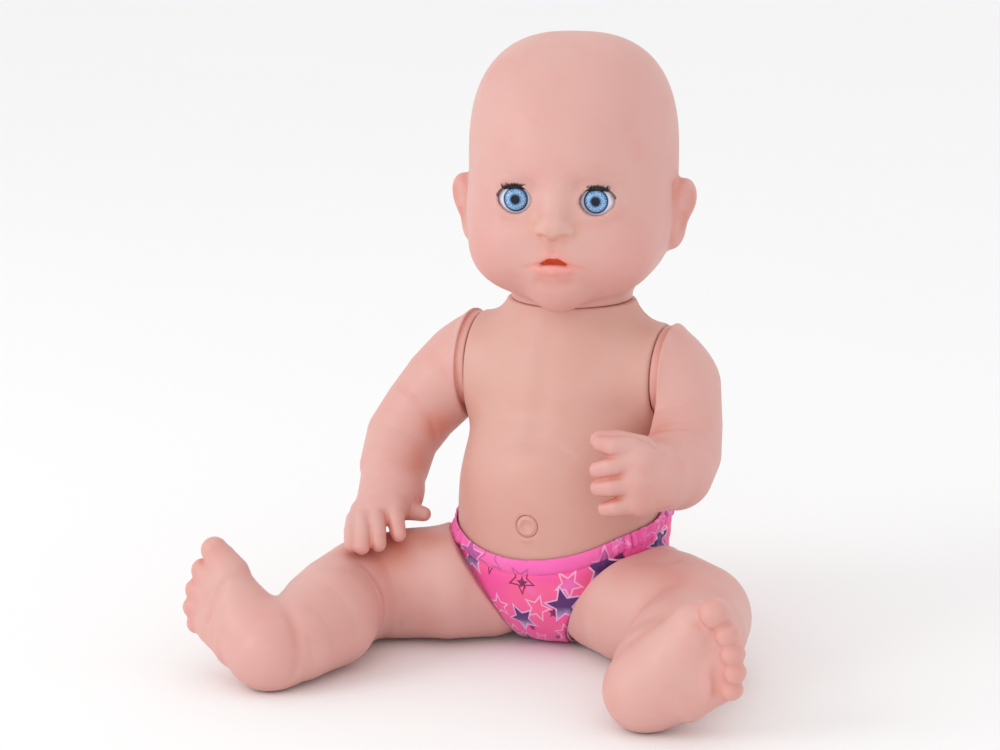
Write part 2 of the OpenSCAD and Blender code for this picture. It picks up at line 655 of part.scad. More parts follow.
torso_front_shell();
torso_back_shell();
torso_screws();
panties();
waist_elastic();
leg_elastics();
circuit_board();
board_components();
belly_switch();
speaker_frame();
speaker_cone();
speaker_magnet();
battery_box();
battery_contacts();
batteries();
switch_housing();
battery_wires();
speaker_wires();
battery_door();
battery_door_screw();
switch_slider();
navel_button();
navel_spring();
head_shell();
neck_plug();
eye_carrier();
mouth_cup();
mouth_switch();
mouth_wires();
eyeballs();
irises();
pupils();
eyelashes();
eye_axle();
eye_weight();
left_arm();
left_arm_plug();
right_arm();
right_arm_plug();
left_leg();
left_leg_plug();
right_leg();
right_leg_plug();
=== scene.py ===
import math

import bmesh
import bpy
import numpy as np
from mathutils import Matrix, Vector


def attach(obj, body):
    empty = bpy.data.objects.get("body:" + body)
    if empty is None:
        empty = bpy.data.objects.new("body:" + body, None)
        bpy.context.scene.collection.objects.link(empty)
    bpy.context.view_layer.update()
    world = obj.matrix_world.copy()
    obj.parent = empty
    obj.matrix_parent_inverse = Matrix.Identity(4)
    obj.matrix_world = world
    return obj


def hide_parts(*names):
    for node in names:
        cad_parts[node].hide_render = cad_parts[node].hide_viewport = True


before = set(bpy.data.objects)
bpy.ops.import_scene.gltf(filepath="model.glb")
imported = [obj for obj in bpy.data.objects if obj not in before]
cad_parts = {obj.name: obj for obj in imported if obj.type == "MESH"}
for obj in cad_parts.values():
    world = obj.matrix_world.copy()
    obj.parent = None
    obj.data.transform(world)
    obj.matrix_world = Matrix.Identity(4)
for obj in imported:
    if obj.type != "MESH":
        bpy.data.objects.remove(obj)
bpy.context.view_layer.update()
COARSE = 1.0
MM = 0.001

# ---------------- shapes, as distances in millimetres
# A shape is (lowest corner, highest corner, distance): the distance is negative inside.
EVERYWHERE = 1e4
CORNERS = [(a, b, c) for a in (0, 1) for b in (0, 1) for c in (0, 1)]  # of a grid's cell


def unit(n):
    n = np.array(n, float)
    return n / np.linalg.norm(n)


def rod(line):
    """Balls [x, y, z, r] joined by cones."""
    p = np.array(line, float)

    def distance(x, y, z):
        best = None
        for a, b in zip(p[:-1], p[1:]):
            ab = b[:3] - a[:3]
            t = ((x - a[0]) * ab[0] + (y - a[1]) * ab[1] + (z - a[2]) * ab[2]) / (ab @ ab)
            t = np.clip(t, 0, 1).astype(np.float32)
            d = np.sqrt(sum((v - a[i] - t * ab[i]) ** 2 for i, v in enumerate((x, y, z))))
            d -= a[3] + t * (b[3] - a[3])
            best = d if best is None else np.minimum(best, d)
        return best

    return (p[:, :3] - p[:, 3:]).min(0), (p[:, :3] + p[:, 3:]).max(0), distance


def egg(c, s, lean=0):
    """An ellipsoid, leaning about the Y axis by lean degrees."""
    c, s = np.array(c, float), np.array(s, float)
    co, si = math.cos(math.radians(lean)), math.sin(math.radians(lean))

    def distance(x, y, z):
        u, v, w = x - c[0], y - c[1], z - c[2]
        u, w = co * u - si * w, si * u + co * w
        k0 = np.sqrt((u / s[0]) ** 2 + (v / s[1]) ** 2 + (w / s[2]) ** 2)
        k1 = np.sqrt((u / s[0] ** 2) ** 2 + (v / s[1] ** 2) ** 2 + (w / s[2] ** 2) ** 2)
        return k0 * (k0 - 1) / np.maximum(k1, 1e-6)

    reach = s if lean == 0 else np.full(3, s.max())
    return c - reach, c + reach, distance


def dome(c, s, power):
    """An egg that is squarer than an ellipse across X and Z."""
    c, s = np.array(c, float), np.array(s, float)

    def distance(x, y, z):
        u, v, w = np.abs(x - c[0]) / s[0], np.abs(y - c[1]) / s[1], np.abs(z - c[2]) / s[2]
        across = (u**power + w**power) ** (1 / power)
        k = np.sqrt(across**2 + v**2)
        return (k - 1) * s.min() * (0.55 + 0.45 * s[1] / s.min())

    return c - s, c + s, distance


def drum(c, axis, r, h, edge=0.0):
    """A cylinder from c along an axis, with a rounded edge."""
    c, n = np.array(c, float), unit(axis)

    def distance(x, y, z):
        a = (x - c[0]) * n[0] + (y - c[1]) * n[1] + (z - c[2]) * n[2]
        away = (x - c[0]) ** 2 + (y - c[1]) ** 2 + (z - c[2]) ** 2 - a**2
        out = np.sqrt(np.maximum(away, 0)) - r + edge
        end = np.abs(a - h / 2) - h / 2 + edge
        return np.minimum(np.maximum(out, end), 0) + np.hypot(np.maximum(out, 0), np.maximum(end, 0)) - edge

    middle = c + n * h / 2
    return middle - r - h / 2, middle + r + h / 2, distance


def block(low, high, edge=0.0):
    """A box with rounded edges."""
    low, high = np.array(low, float), np.array(high, float)
    m, s = (low + high) / 2, (high - low) / 2 - edge

    def distance(x, y, z):
        q = [np.abs(v - m[i]) - s[i] for i, v in enumerate((x, y, z))]
        inside = np.minimum(np.maximum(np.maximum(q[0], q[1]), q[2]), 0)
        return inside + np.sqrt(sum(np.maximum(v, 0) ** 2 for v in q)) - edge

    return low, high, distance


def beyond(c, n):
    """Everything past the plane through c with normal n."""
    c, n = np.array(c, float), unit(n)
    far = np.full(3, EVERYWHERE)
    return -far, far, lambda x, y, z: -((x - c[0]) * n[0] + (y - c[1]) * n[1] + (z - c[2]) * n[2])


class Field:
    """A skin as a signed distance on a grid of points."""

    MARGIN = 10

    def __init__(self, low, high, step):
        self.step = step * COARSE
        self.low = np.array(low, float)
        counts = np.ceil((np.array(high, float) - self.low) / self.step).astype(int) + 1
        self.axes = [(v + self.step * np.arange(n)).astype(np.float32) for v, n in zip(self.low, counts)]
        self.v = np.full(counts, 60, np.float32)

    def near(self, shape, margin):
        s = []
        for i in range(3):
            a = np.searchsorted(self.axes[i], shape[0][i] - margin)
            b = np.searchsorted(self.axes[i], shape[1][i] + margin)
            s.append(slice(int(a), int(b)))
        x, y, z = (self.axes[i][s[i]] for i in range(3))
        d = shape[2](x[:, None, None], y[None, :, None], z[None, None, :])
        return tuple(s), np.broadcast_to(d, [len(x), len(y), len(z)])

    def add(self, shape, k=0.0, sign=1):
        """Joins a shape on, or cuts it out where sign is -1, with a fillet or a rounding of about k."""
        s, d = self.near(shape, self.MARGIN + k)
        v = sign * self.v[s]
        h = np.maximum(k - np.abs(v - d), 0) / k if k else 0
        self.v[s] = sign * (np.minimum(v, d) - h * h * k / 4)

    def cut(self, shape, k=0.0):
        self.add(shape, k, -1)

    def keep(self, shape, k=0.0):
        """Cuts away everything outside a shape."""
        far = np.full(3, EVERYWHERE)
        self.cut((-far, far, lambda x, y, z: -shape[2](x, y, z)), k)

    def press(self, points, depth, width, side=1):
        """Sinks the skin along a line, mirrored where side is -1, or raises it where depth is negative."""
        s, d = self.near(rod([[side * x, y, z, 0] for x, y, z in points]), 3 * width)
        self.v[s] += depth * np.exp(-((d / width) ** 2))

    def hollow(self, wall):
        self.v = np.maximum(self.v, -(self.v + wall))

    def at(self, p):
        """The distance at points p, between the grid's points."""
        q = (p - self.low) / self.step
        i = np.clip(np.floor(q).astype(int), 0, np.array(self.v.shape) - 2)
        t = np.clip(q - i, 0, 1)
        total = 0
        for corner in CORNERS:
            w = np.where(corner, t, 1 - t)
            total = total + w[:, 0] * w[:, 1] * w[:, 2] * self.v[tuple((i + corner).T)]
        return total

    def slope(self, p):
        g = np.stack([self.at(p + e) - self.at(p - e) for e in np.eye(3) * self.step * 0.7], 1)
        return g / np.maximum(np.linalg.norm(g, axis=1, keepdims=True), 1e-6)

    def skin(self, level=0.0):
        """Points and quads of the surface where the distance is level."""
        v = self.v - np.float32(level)
        inside = v < 0
        shape = np.array(v.shape) - 1
        count = np.zeros(shape, np.int8)
        for a, b, c in CORNERS:
            count += inside[a : a + shape[0], b : b + shape[1], c : c + shape[2]]
        cell = np.argwhere((count > 0) & (count < 8))
        number = np.full(shape, -1, np.int64)
        number[tuple(cell.T)] = np.arange(len(cell))
        total, hits = np.zeros((len(cell), 3)), np.zeros(len(cell))
        for a in CORNERS:
            for axis in range(3):
                if a[axis]:
                    continue
                b = list(a)
                b[axis] = 1
                va, vb = v[tuple((cell + a).T)], v[tuple((cell + b).T)]
                crosses = (va < 0) != (vb < 0)
                t = va / np.where(crosses, va - vb, 1)
                here = np.array(a) + np.outer(t, np.eye(3)[axis])
                total += here * crosses[:, None]
                hits += crosses
        points = self.low + (cell + total / hits[:, None]) * self.step
        quads = []
        for axis in range(3):
            b, c = (axis + 1) % 3, (axis + 2) % 3
            cut = np.moveaxis(inside, axis, 0)
            change = np.moveaxis(cut[:-1] != cut[1:], 0, axis)
            index = np.argwhere(change)
            low_ok = (index[:, b] > 0) & (index[:, c] > 0)
            index = index[low_ok & (index[:, b] < shape[b]) & (index[:, c] < shape[c])]
            eb, ec = np.eye(3, dtype=int)[b], np.eye(3, dtype=int)[c]
            q = np.stack([number[tuple((index - o).T)] for o in (eb + ec, ec, 0 * eb, eb)], 1)
            leaving = inside[tuple(index.T)]
            quads.append(np.where(leaving[:, None], q, q[:, ::-1]))
        for _ in range(2):
            points = points - self.slope(points) * (self.at(points) - level)[:, None]
        return points, np.concatenate(quads)

    def creases(self, p, n, reach=5.0):
        """How far the surface folds in on itself at points p, from 0 to 1."""
        return np.clip(sum((d - self.at(p + n * d)) / d for d in (reach / 2, reach)) / 2, 0, 1)


# ---------------- meshes


def placed(name, data):
    """A new object in the scene, made of data."""
    piece = bpy.data.objects.new(name, data)
    bpy.context.scene.collection.objects.link(piece)
    return piece


def mesh(name, points, faces, body, material, replaces=(), attributes=None):
    """A smooth mesh object from points in millimetres, riding on a body."""
    data = bpy.data.meshes.new(name)
    data.from_pydata((np.asarray(points) * MM).tolist(), [], [list(map(int, f)) for f in faces])
    data.polygons.foreach_set("use_smooth", np.ones(len(data.polygons), bool))
    for key, value in (attributes or {}).items():
        value = np.asarray(value, np.float32)
        kind, field = ("FLOAT", "value") if value.ndim == 1 else ("FLOAT_VECTOR", "vector")
        data.attributes.new(key, kind, "POINT").data.foreach_set(field, value.ravel())
    data.materials.append(material)
    data.update()
    piece = placed(name, data)
    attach(piece, body)
    if replaces:
        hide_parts(*replaces)
    return piece


HEAD_YAW = math.radians(12)
NECK_Y = 3


def turned(points):
    """From the head's own frame to the doll's."""
    p = np.array(points, float)
    c, s = math.cos(HEAD_YAW), math.sin(HEAD_YAW)
    y = p[:, 1] - NECK_Y
    return np.stack([p[:, 0] * c - y * s, p[:, 0] * s + y * c + NECK_Y, p[:, 2]], 1)


def glow(points, spots):
    """How much each point is coloured: the strongest of spots [x, y, z, radius, strength]."""
    best = np.zeros(len(points))
    for x, y, z, r, strength in spots:
        d2 = ((points - (x, y, z)) ** 2).sum(1)
        best = np.maximum(best, strength * np.exp(-d2 / r**2))
    return best


STRENGTH = {"lips": 0.6, "shade": 0.24, "pale": 0.28}


def moulded(name, field, body, material, replaces, spots=(), paint=None, warm=()):
    """The skin of a field as a piece. Paint lists rods [line, softness] for each of its named colours."""
    p, quads = field.skin()
    n = field.slope(p)
    # crease: painted shade, the stronger of how far the skin folds in and of the spots where nearby parts
    # shade it
    attributes = {"crease_shade": np.maximum(field.creases(p, n), glow(p, warm)), "blush": glow(p, spots)}
    for key, rods in (paint or {}).items():
        near = np.full(len(p), 50.0)
        for line, softness in rods:
            d = rod(line)[2](p[:, 0], p[:, 1], p[:, 2])
            near = np.minimum(near, np.maximum(d, 0) / softness)
        attributes[key] = np.exp(-(near**2)) * STRENGTH.get(key, 1)
    if body == "head":
        p = turned(p)
    return mesh(name, p, quads, body, material, replaces, attributes)


# ---------------- materials


class Shader:
    """Short names for building one material's nodes."""

    def __init__(self, name):
        self.material = bpy.data.materials.new(name)
        self.material.use_nodes = True
        self.tree = self.material.node_tree
        self.bsdf = self.tree.nodes["Principled BSDF"]

    def put(self, socket, value):
        if isinstance(value, bpy.types.NodeSocket):
            self.tree.links.new(value, socket)
        else:
            socket.default_value = value

    def node(self, kind, inputs=None, **settings):
        n = self.tree.nodes.new(kind)
        for key, value in settings.items():
            setattr(n, key, value)
        for key, value in (inputs or {}).items():
            self.put(n.inputs[key], value)
        return n

    def math(self, operation, *values):
        return self.node("ShaderNodeMath", dict(enumerate(values)), operation=operation).outputs[0]

    def mix(self, amount, a, b):
        n = self.node("ShaderNodeMix", {0: amount}, data_type="RGBA", clamp_factor=True)
        for i, tone in ((6, a), (7, b)):
            self.put(n.inputs[i], (*tone, 1) if isinstance(tone, tuple) else tone)
        return n.outputs[2]

    def span(self, value, a, b, low=0.0, high=1.0, kind="SMOOTHSTEP"):
        """Value's range a to b, taken to low to high."""
        inputs = dict(enumerate((value, a, b, low, high)))
        return self.node("ShaderNodeMapRange", inputs, interpolation_type=kind).outputs[0]

    def join(self, *values):
        return self.node("ShaderNodeCombineXYZ", dict(enumerate(values))).outputs[0]

    def split(self, vector):
        return self.node("ShaderNodeSeparateXYZ", {0: vector}).outputs

    def attribute(self, name, output="Fac"):
        return self.node("ShaderNodeAttribute", attribute_name=name).outputs[output]

    def place(self):
        """Object coordinates in metres."""
        return self.node("ShaderNodeTexCoord").outputs["Object"]

    def noise(self, vector, scale, detail=2.0, rough=0.5):
        inputs = {"Vector": vector, "Scale": scale, "Detail": detail, "Roughness": rough}
        return self.node("ShaderNodeTexNoise", inputs).outputs["Fac"]

    def patches(self, scale, detail, a=0.3, b=0.7, low=0.0, high=1.0):
        """Noise over the object, its range a to b taken to low to high."""
        return self.span(self.noise(self.place(), scale, detail), a, b, low, high)

    def bump(self, height, distance, strength):
        n = self.node("ShaderNodeBump", {"Strength": strength, "Distance": distance, "Height": height})
        self.put(self.bsdf.inputs["Normal"], n.outputs[0])

    def finish(self, color, roughness, **sockets):
        sockets.update(Base_Color=color, Roughness=roughness)
        for key, value in sockets.items():
            self.put(self.bsdf.inputs[key.replace("_", " ")], value)
        return self.material


def srgb(r, g, b):
    """A colour in display values 0 to 255, as linear light."""
    return tuple(((v / 255 + 0.055) / 1.055) ** 2.4 for v in (r, g, b))


def skin_material(name, base, warm, blush, pale):
    """Soft moulded vinyl: painted shade, darker and warmer, in its folds, blushed, with a faint mottle and a
    very fine grain.
    """
    s = Shader(name)
    color = s.mix(s.patches(18, 3, 0.35, 0.7, 0, 0.5), base, pale)
    color = s.mix(s.patches(55, 2, 0.45, 0.75, 0, 0.25), color, blush)
    color = s.mix(s.attribute("blush"), color, blush)
    # painted shade: the second tone, darker and warmer, laid in where the skin folds in
    color = s.mix(s.span(s.attribute("crease_shade"), 0.05, 0.7, 0, 0.7), color, warm)
    s.bump(s.noise(s.place(), 2600, 2), 0.00003, 0.5)
    rough = s.patches(90, 3, low=0.43, high=0.52)
    return s, color, rough


def plain(name, color, roughness, metal=0.0, coat=0.0):
    """A moulded, painted or metal part with slight unevenness in its colour and finish."""
    s = Shader(name)
    light = srgb(*color)
    dark = tuple(v * 0.82 for v in light)
    tint = s.mix(s.patches(120, 3, 0.35, 0.7, 0, 0.6), light, dark)
    s.bump(s.noise(s.place(), 900, 2), 0.00004, 0.4)
    rough = s.patches(260, 2, low=roughness - 0.05, high=roughness + 0.07)
    return s.finish(tint, rough, Metallic=metal, Coat_Weight=coat)


SOFT = dict(Subsurface_Weight=0.12, Subsurface_Scale=0.004, Subsurface_Radius=(1.0, 0.35, 0.22))
# Tones: base, painted shade for the folds, blush and pale.
VINYL_TONES = srgb(216, 165, 157), srgb(213, 126, 104), srgb(217, 139, 131), srgb(219, 175, 165)
FACE_PAINT = {
    "pale": (224, 180, 158),
    "shade": (186, 118, 112),
    "lips": (232, 150, 140),
    "mouth": (236, 110, 76),
}
# Tones: base, painted shade for the folds, blush and pale.
PLASTIC_TONES = srgb(213, 162, 151), srgb(204, 128, 104), srgb(212, 151, 135), srgb(215, 171, 157)

s, color, rough = skin_material("skin_vinyl", *VINYL_TONES)
VINYL = s.finish(color, rough, **SOFT)
s, color, rough = skin_material("face_vinyl", *VINYL_TONES)
for key, tone in FACE_PAINT.items():
    color = s.mix(s.attribute(key), color, srgb(*tone))
# painted shade: a thin dark line along the upper edge of each eye opening
color = s.mix(s.span(s.attribute("lid_gap_shade"), 0.3, 0.75, 0, 0.85), color, srgb(58, 34, 36))
FACE = s.finish(color, rough, **SOFT)
s, color, rough = skin_material("torso_plastic", *PLASTIC_TONES)
TORSO = s.finish(color, rough, Specular_IOR_Level=0.45)

# ---------------- the torso

SHOULDER = np.array([41.7, 3, 115.0])
SHOULDER_R = 21.5
ROOT_R = 20.6  # of the arms, where they meet the torso
HIP = np.array([33, -12, 22.5])
HIP_N = np.array([0.76, -0.33, -0.56])
HIP_GAP = 0.2  # from the middle of a hip joint to the torso and to the leg
NECK_Z = 145
SEAT_Z = 1.2
NAVEL_Z = 57
SEAM_SLOPE = (SHOULDER[1] - HIP[1]) / (SHOULDER[2] - HIP[2])
SIDE_X = 45.1


def mirrored(v, side):
    return np.array([side * v[0], *v[1:]])


def body_form(f):
    """The outside of the torso before it is cut for the limbs."""
    f.add(egg((0, 2, 108), (40, 30.5, 33)))
    f.add(egg((0, -5, 68), (44.5, 42.5, 38)), 22)
    f.add(egg((0, -9, 36), (44, 38, 38)), 18)
    for side in (-1, 1):
        f.add(egg((side * 20, 3, 90), (22, 24, 24)), 6)
    f.add(drum(mirrored(SHOULDER, -1), (1, 0, 0), SHOULDER_R, 2 * SHOULDER[0], 2), 12)
    f.add(drum((0, NECK_Y, 112), (0, 0, 1), 25.5, NECK_Z - 110), 16)
    for side in (-1, 1):
        f.cut(beyond((side * SIDE_X, 0, 0), (side, 0, 0)), 1)
    f.press([(0, -30, 130), (0, -34, 108), (0, -40, 92)], 0.9, 5)
    for side in (-1, 1):
        f.press([(4, -36, 101), (20, -34, 99), (33, -24, 104)], 0.5, 4, side)


def torso_form(low, high, step):
    f = Field(low, high, step)
    body_form(f)
    f.cut(beyond((0, 0, SEAT_Z), (0, 0, -1)), 1)
    f.cut(beyond((0, 0, NECK_Z - 0.05), (0, 0, 1)))
    for side in (-1, 1):
        f.cut(beyond(mirrored(HIP - HIP_GAP * HIP_N, side), mirrored(HIP_N, side)), 0.8)
        f.cut(drum(mirrored(SHOULDER, side), (side, 0, 0), ROOT_R + 0.2, 12), 0.3)
    return f


SEAM = (0, SHOULDER[1], SHOULDER[2])
SEAM_N = np.array([0, 1, -SEAM_SLOPE])
DOOR_X, DOOR_Z, DOOR_MIDDLE, DOOR_GAP = 25, 15, 80, 0.4
SCREWS = [(-33, 92), (33, 92), (-12, 24), (12, 24)]
SPEAKER_Z = 117
HOLE_PITCH = 3.8
WALL = 2.2


def door_block(gap, y, edge):
    """The block that the battery door fills, smaller by a gap."""
    low = (gap - DOOR_X, y, DOOR_MIDDLE - DOOR_Z + gap)
    return block(low, (DOOR_X - gap, 60, DOOR_MIDDLE + DOOR_Z - gap), edge)


f = torso_form((-50, -54, -1), (50, 16, 148), 0.8)
f.hollow(WALL)
f.cut(beyond(SEAM, SEAM_N), 0.6)
f.press([(-0.6, -48.6, 51.4), (0.6, -48.6, 51.4)], -0.8, 1.3)
f.cut(drum((0, -60, NAVEL_Z), (0, 1, 0), 4.66, 30), 0.1)
spots = [(0, -48, NAVEL_Z, 12, 0.35)]
moulded("torso_front", f, "torso", TORSO, ["torso_front_shell"], spots)

f = torso_form((-50, -14, -1), (50, 42, 148), 0.8)
f.hollow(WALL)
f.cut(beyond(SEAM, -SEAM_N), 0.6)
f.cut(door_block(0, 14, 2), 0.5)
f.cut(block((20.6, 20, 105.7), (25.4, 60, 114.3), 0.5), 0.4)
for turn in range(3):
    for k in range(max(1, turn * 6)):
        a = math.radians(k * 60 / max(1, turn))
        x, z = turn * HOLE_PITCH * math.cos(a), SPEAKER_Z + turn * HOLE_PITCH * math.sin(a)
        f.cut(drum((x, 20, z), (0, 1, 0), 1.2, 30), 0.5)
for x, z in SCREWS:
    f.cut(drum((x, SHOULDER[1] + (z - SHOULDER[2]) * SEAM_SLOPE + 14.7, z), (0, 1, 0), 2.8, 40), 0.5)
moulded("torso_back", f, "torso", TORSO, ["torso_back_shell"])

f = Field((-28, 18, 62), (28, 44, 98), 0.6)
body_form(f)
f.hollow(WALL)
f.keep(door_block(DOOR_GAP, 20, 1.8), 0.6)
f.cut(drum((0, 20, 90), (0, 1, 0), 2.9, 30), 0.5)
moulded("battery_cover", f, "battery_cover", TORSO, ["battery_door"])

# ---------------- the head
EYE_X, EYE_Y, EYE_Z = 16.5, -33, 193.0


def whole(line):
    """A line of balls that ends in the middle, with its mirror image after it."""
    return line + [[-x, *rest] for x, *rest in reversed(line[:-1])]


def head():
    f = Field((-60, -60, 142), (60, 62, 262), 0.75)
    f.add(dome((0, 6, 205), (44, 51.5, 52.2), 2.6))
    f.add(egg((0, -5, 177), (41, 41, 32.5)), 12)
    for side in (-1, 1):
        f.add(egg((side * 19, -24, 170), (18, 18, 15.5)), 10)
    f.add(rod([[0, -32.8, 156.1, 10.8], [0, -29, 159, 12]]), 9)
    f.add(egg((0, -36, 168), (14, 9.5, 11)), 7)
    # brow, eye hollows and lids
    for side in (-1, 1):
        f.press([(10, -45, 199), (18, -43, 200.5), (25, -37, 199)], 1.1, 4.5, side)
        f.press([(8, -46, 190), (9, -46, 196)], 1.4, 4.5, side)
        f.press([(12, -44, 183.5), (20, -41, 184)], 0.7, 3, side)
        f.add(egg((side * EYE_X, EYE_Y, EYE_Z), (11.6, 11.1, 11)), 2.5)
        f.press([(9.5, -44, 200), (16.5, -44.5, 202), (24, -41, 200)], 0.7, 1.5, side)
    # nose
    f.add(rod([[0, -40, 196, 3.5], [0, -43.5, 189, 3.6], [0, -47.2, 184.2, 4.3]]), 7)
    f.add(rod([[-1, -48.6, 183, 4.1], [1, -48.6, 183, 4.1]]), 2.5)
    for side in (-1, 1):
        f.add(egg((side * 5, -45.8, 181.7), (3.1, 3.6, 2.9)), 2)
        f.press([(8.2, -45, 184), (8.6, -44.5, 180)], 0.3, 1.6, side)
        f.press([(3.2, -50, 178.6), (4.6, -48.5, 178.9)], 1.5, 1.3, side)
    f.press([(0, -47.5, 177), (0, -47, 172.5)], 0.55, 1.5)
    # lips, round an opening with a bow along its top
    upper = [[-10.5, -43, 166.3, 0.6], [-6.5, -44.9, 168.5, 1.0], [-2.1, -46.2, 171.3, 1.25],
             [0, -46.4, 170.8, 1.1]]
    lower = [[-10, -43.2, 165.9, 0.6], [-6, -45, 165.2, 1.5], [0, -45.9, 164.9, 2.0]]
    for line in (upper, lower):
        f.add(rod(whole(line)), 1.4)
    for side in (-1, 1):
        f.press([(5, -45.8, 167.3), (11.6, -43.4, 165.8)], 0.85, 1.1, side)
    f.press([(-6, -44, 159.6), (0, -45, 159), (6, -44, 159.6)], 0.9, 2.6)

    def mouth(x, y, z):
        top = 167.4 + 2.7 * np.clip(1 - (np.abs(x) / 5.6) ** 1.7, 0, 1) - 0.6 * np.exp(-((x / 1.0) ** 2))
        sides = np.abs(x) - 5.3
        return np.maximum(np.maximum(np.maximum(z - top, 167.2 - 0.015 * x * x - z), sides), y + 36)

    f.cut(((-8, -56, 162), (8, -36, 174), mouth), 0.8)
    # ears
    for side in (-1, 1):
        f.add(egg((side * 46, 5, 187.5), (6, 8.5, 9.4), side * 12), 4)
        f.add(egg((side * 43.6, 4, 175), (4.2, 6.5, 8), side * 10), 4)
        f.cut(egg((side * 51, -3.4, 187), (4.4, 6.2, 6.4), side * 12), 3)
        f.cut(egg((side * 47.8, -3.4, 178), (3, 4.8, 5.5), side * 10), 3)
        f.press([(43, -4, 194), (41.5, -4, 184), (41, -3, 172)], 0.5, 2.4, side)
    # neck, with a fold under the chin
    f.add(drum((0, NECK_Y, 143), (0, 0, 1), 25.6, 22), 5)
    f.cut(beyond((0, 0, NECK_Z + 0.1), (0, 0, -1)))
    # eye openings
    for side in (-1, 1):

        def opening(x, y, z, side=side):
            u, w = (x - side * EYE_X) * side, z - EYE_Z
            across = np.clip(1 - (u / np.where(u > 0, 7.9, 7.2)) ** 2, 0, 1) ** 0.72
            corner = np.where(u > 0, u - 7.5, -u - 6.8)
            lids = np.abs(w) - np.where(w > 0, 5.7, 5.9) * across
            return np.maximum(np.maximum(lids, corner), y + 34)

        c = np.array((side * EYE_X, EYE_Y, EYE_Z))
        f.cut((c - (9, 20, 9), c + (9, 2, 9), opening), 0.7)
        f.cut(egg(c, (9.8, 9.8, 9.8)), 0.5)
        f.cut(drum(c, (0, 1, 0), 9.8, 30))
    f.cut(egg((0, 6, 205), (41, 48, 49.5)))
    f.cut(egg((0, -3, 178), (37, 32, 28)))
    f.cut(drum((0, NECK_Y, 140), (0, 0, 1), 18, 30))
    f.cut(drum((0, -43, 168), (0, 1, 0), 7.6, 30))
    # Painted shade: a thin dark line along the upper edge of each eye opening, where the gap above the eyeball
    # is in shade, and a soft band in each lid's fold.
    lid_gap_shade, shade = [], []
    for side in (-1, 1):
        edge = []
        for a in np.linspace(12, 168, 14):
            u = 7.4 * math.cos(math.radians(a))
            w = 5.7 * (1 - (u / 7.9) ** 2) ** 0.72
            edge.append([side * (EYE_X + u), EYE_Y - math.sqrt(10.5**2 - u * u - w * w), EYE_Z + w, 0.4])
        lid_gap_shade.append((edge, 0.8))
        fold = [[side * (EYE_X + u), -42, 200.4 - 0.03 * u * u, 1.0] for u in (-7, -3.5, 0, 3.5, 7)]
        shade.append((fold, 2.0))
    paint = {
        "lips": [(whole(upper), 0.9), (whole(lower), 1.3)],
        "mouth": [(whole([[-4, -43, 167.9, 0.6], [0, -43, 167.9, 0.6]]), 0.7),
                  (whole([[-2, -43, 169.3, 0.7], [0, -43, 169.3, 0.7]]), 0.7)],
        "lid_gap_shade": lid_gap_shade,
        "shade": shade,
        "pale": [([[-4, -47, 182, 3], [4, -47, 182, 3]], 3.5), ([[0, -47.5, 185, 2], [0, -48, 183, 3]], 2.5)],
    }
    spots = [(-26, -30, 170, 15, 0.5), (26, -30, 170, 15, 0.5), (0, -40, 155, 9, 0.25), (0, 6, 250, 40, -0.2)]
    spots += [(side * 50, 2, 186, 12, 0.35) for side in (-1, 1)]
    moulded("head_skin", f, "head", FACE, ["head_shell"], spots, paint)


head()

# ---------------- arms and legs
# Balls [x, y, z, r]: the line down a limb, the parts that fill it out, and its fingers or toes.
LEFT_LEG = dict(
    line=[[45, -20, 23.5, 22.5], [57, -28, 23.5, 23.2], [71, -37, 23, 22.5], [76, -56, 22.5, 21.5],
          [76.5, -78, 22, 21], [75.5, -98, 19.5, 18.2], [75.5, -112, 15.7, 15.2]],
    parts=[[[26.5, -24.5, 20.2, 20], [42, -36, 22.8, 22.4], [58, -44, 23.2, 22.4]],
           [[76, -113, 15.5, 14.8], [92, -113, 16.5, 11], [103, -113, 22, 8.5]],
           [[75.5, -111, 16, 15.3], [87, -111, 27, 15.5], [96, -111.5, 41.5, 12]],
           [[87, -111, 26, 15], [101, -111.5, 27, 10.5]]],
    tips=[[[99, -113, 45, 8.5], [104.5, -116, 51, 6.2], [104.5, -118.5, 51.5, 6]],
          [[103, -113, 38, 7.5], [109.8, -116.5, 43.6, 4.8], [110, -119, 44, 4.7]],
          [[104, -113, 32, 7.5], [112, -116.5, 36.2, 4.6], [112, -119, 36.6, 4.5]],
          [[104, -113, 27, 7], [112.8, -116.5, 29, 4.4], [113, -118.5, 29.2, 4.3]],
          [[103, -112, 22.5, 7], [111.6, -115.5, 21.8, 4.2], [111.8, -117.5, 22, 4.1]]],
    low=(2, -140, -3), high=(126, 24, 68),
)
RIGHT_LEG = dict(
    line=[[-45, -21, 23.5, 22.5], [-58, -35, 23, 22.5], [-74, -50, 22, 21.8], [-76.5, -70, 21, 20.5],
          [-71.5, -91, 21.6, 21.3], [-75, -111, 18.2, 17.9], [-81, -124, 15.6, 15.3]],
    parts=[[[-27, -26, 20.4, 20], [-41, -35, 22.5, 22], [-58, -38, 22.8, 22.2]],
           [[-83, -123, 15.5, 14.5], [-97, -120, 16, 11], [-109, -116, 20, 8]],
           [[-81, -122, 16, 15.3], [-93, -118.5, 24, 13], [-103.5, -115, 39, 9.2]],
           [[-84, -122, 16, 14.5], [-94, -118, 24, 13.5], [-107.5, -115.5, 24, 10]]],
    tips=[[[-104.5, -113.5, 43, 8], [-109, -112.5, 48, 6.6], [-111.8, -112.5, 51.6, 5.6]],
          [[-109, -113.5, 37, 8], [-117.5, -112, 42.3, 5]],
          [[-110, -114.5, 31, 8], [-119.5, -114.5, 34.5, 4.7]],
          [[-110.5, -115, 26, 7.5], [-120.2, -116, 27.4, 4.5]],
          [[-109.5, -115, 21.5, 7.5], [-118.8, -116, 20.6, 4.3]]],
    low=(-132, -148, -3), high=(-2, 24, 66),
)
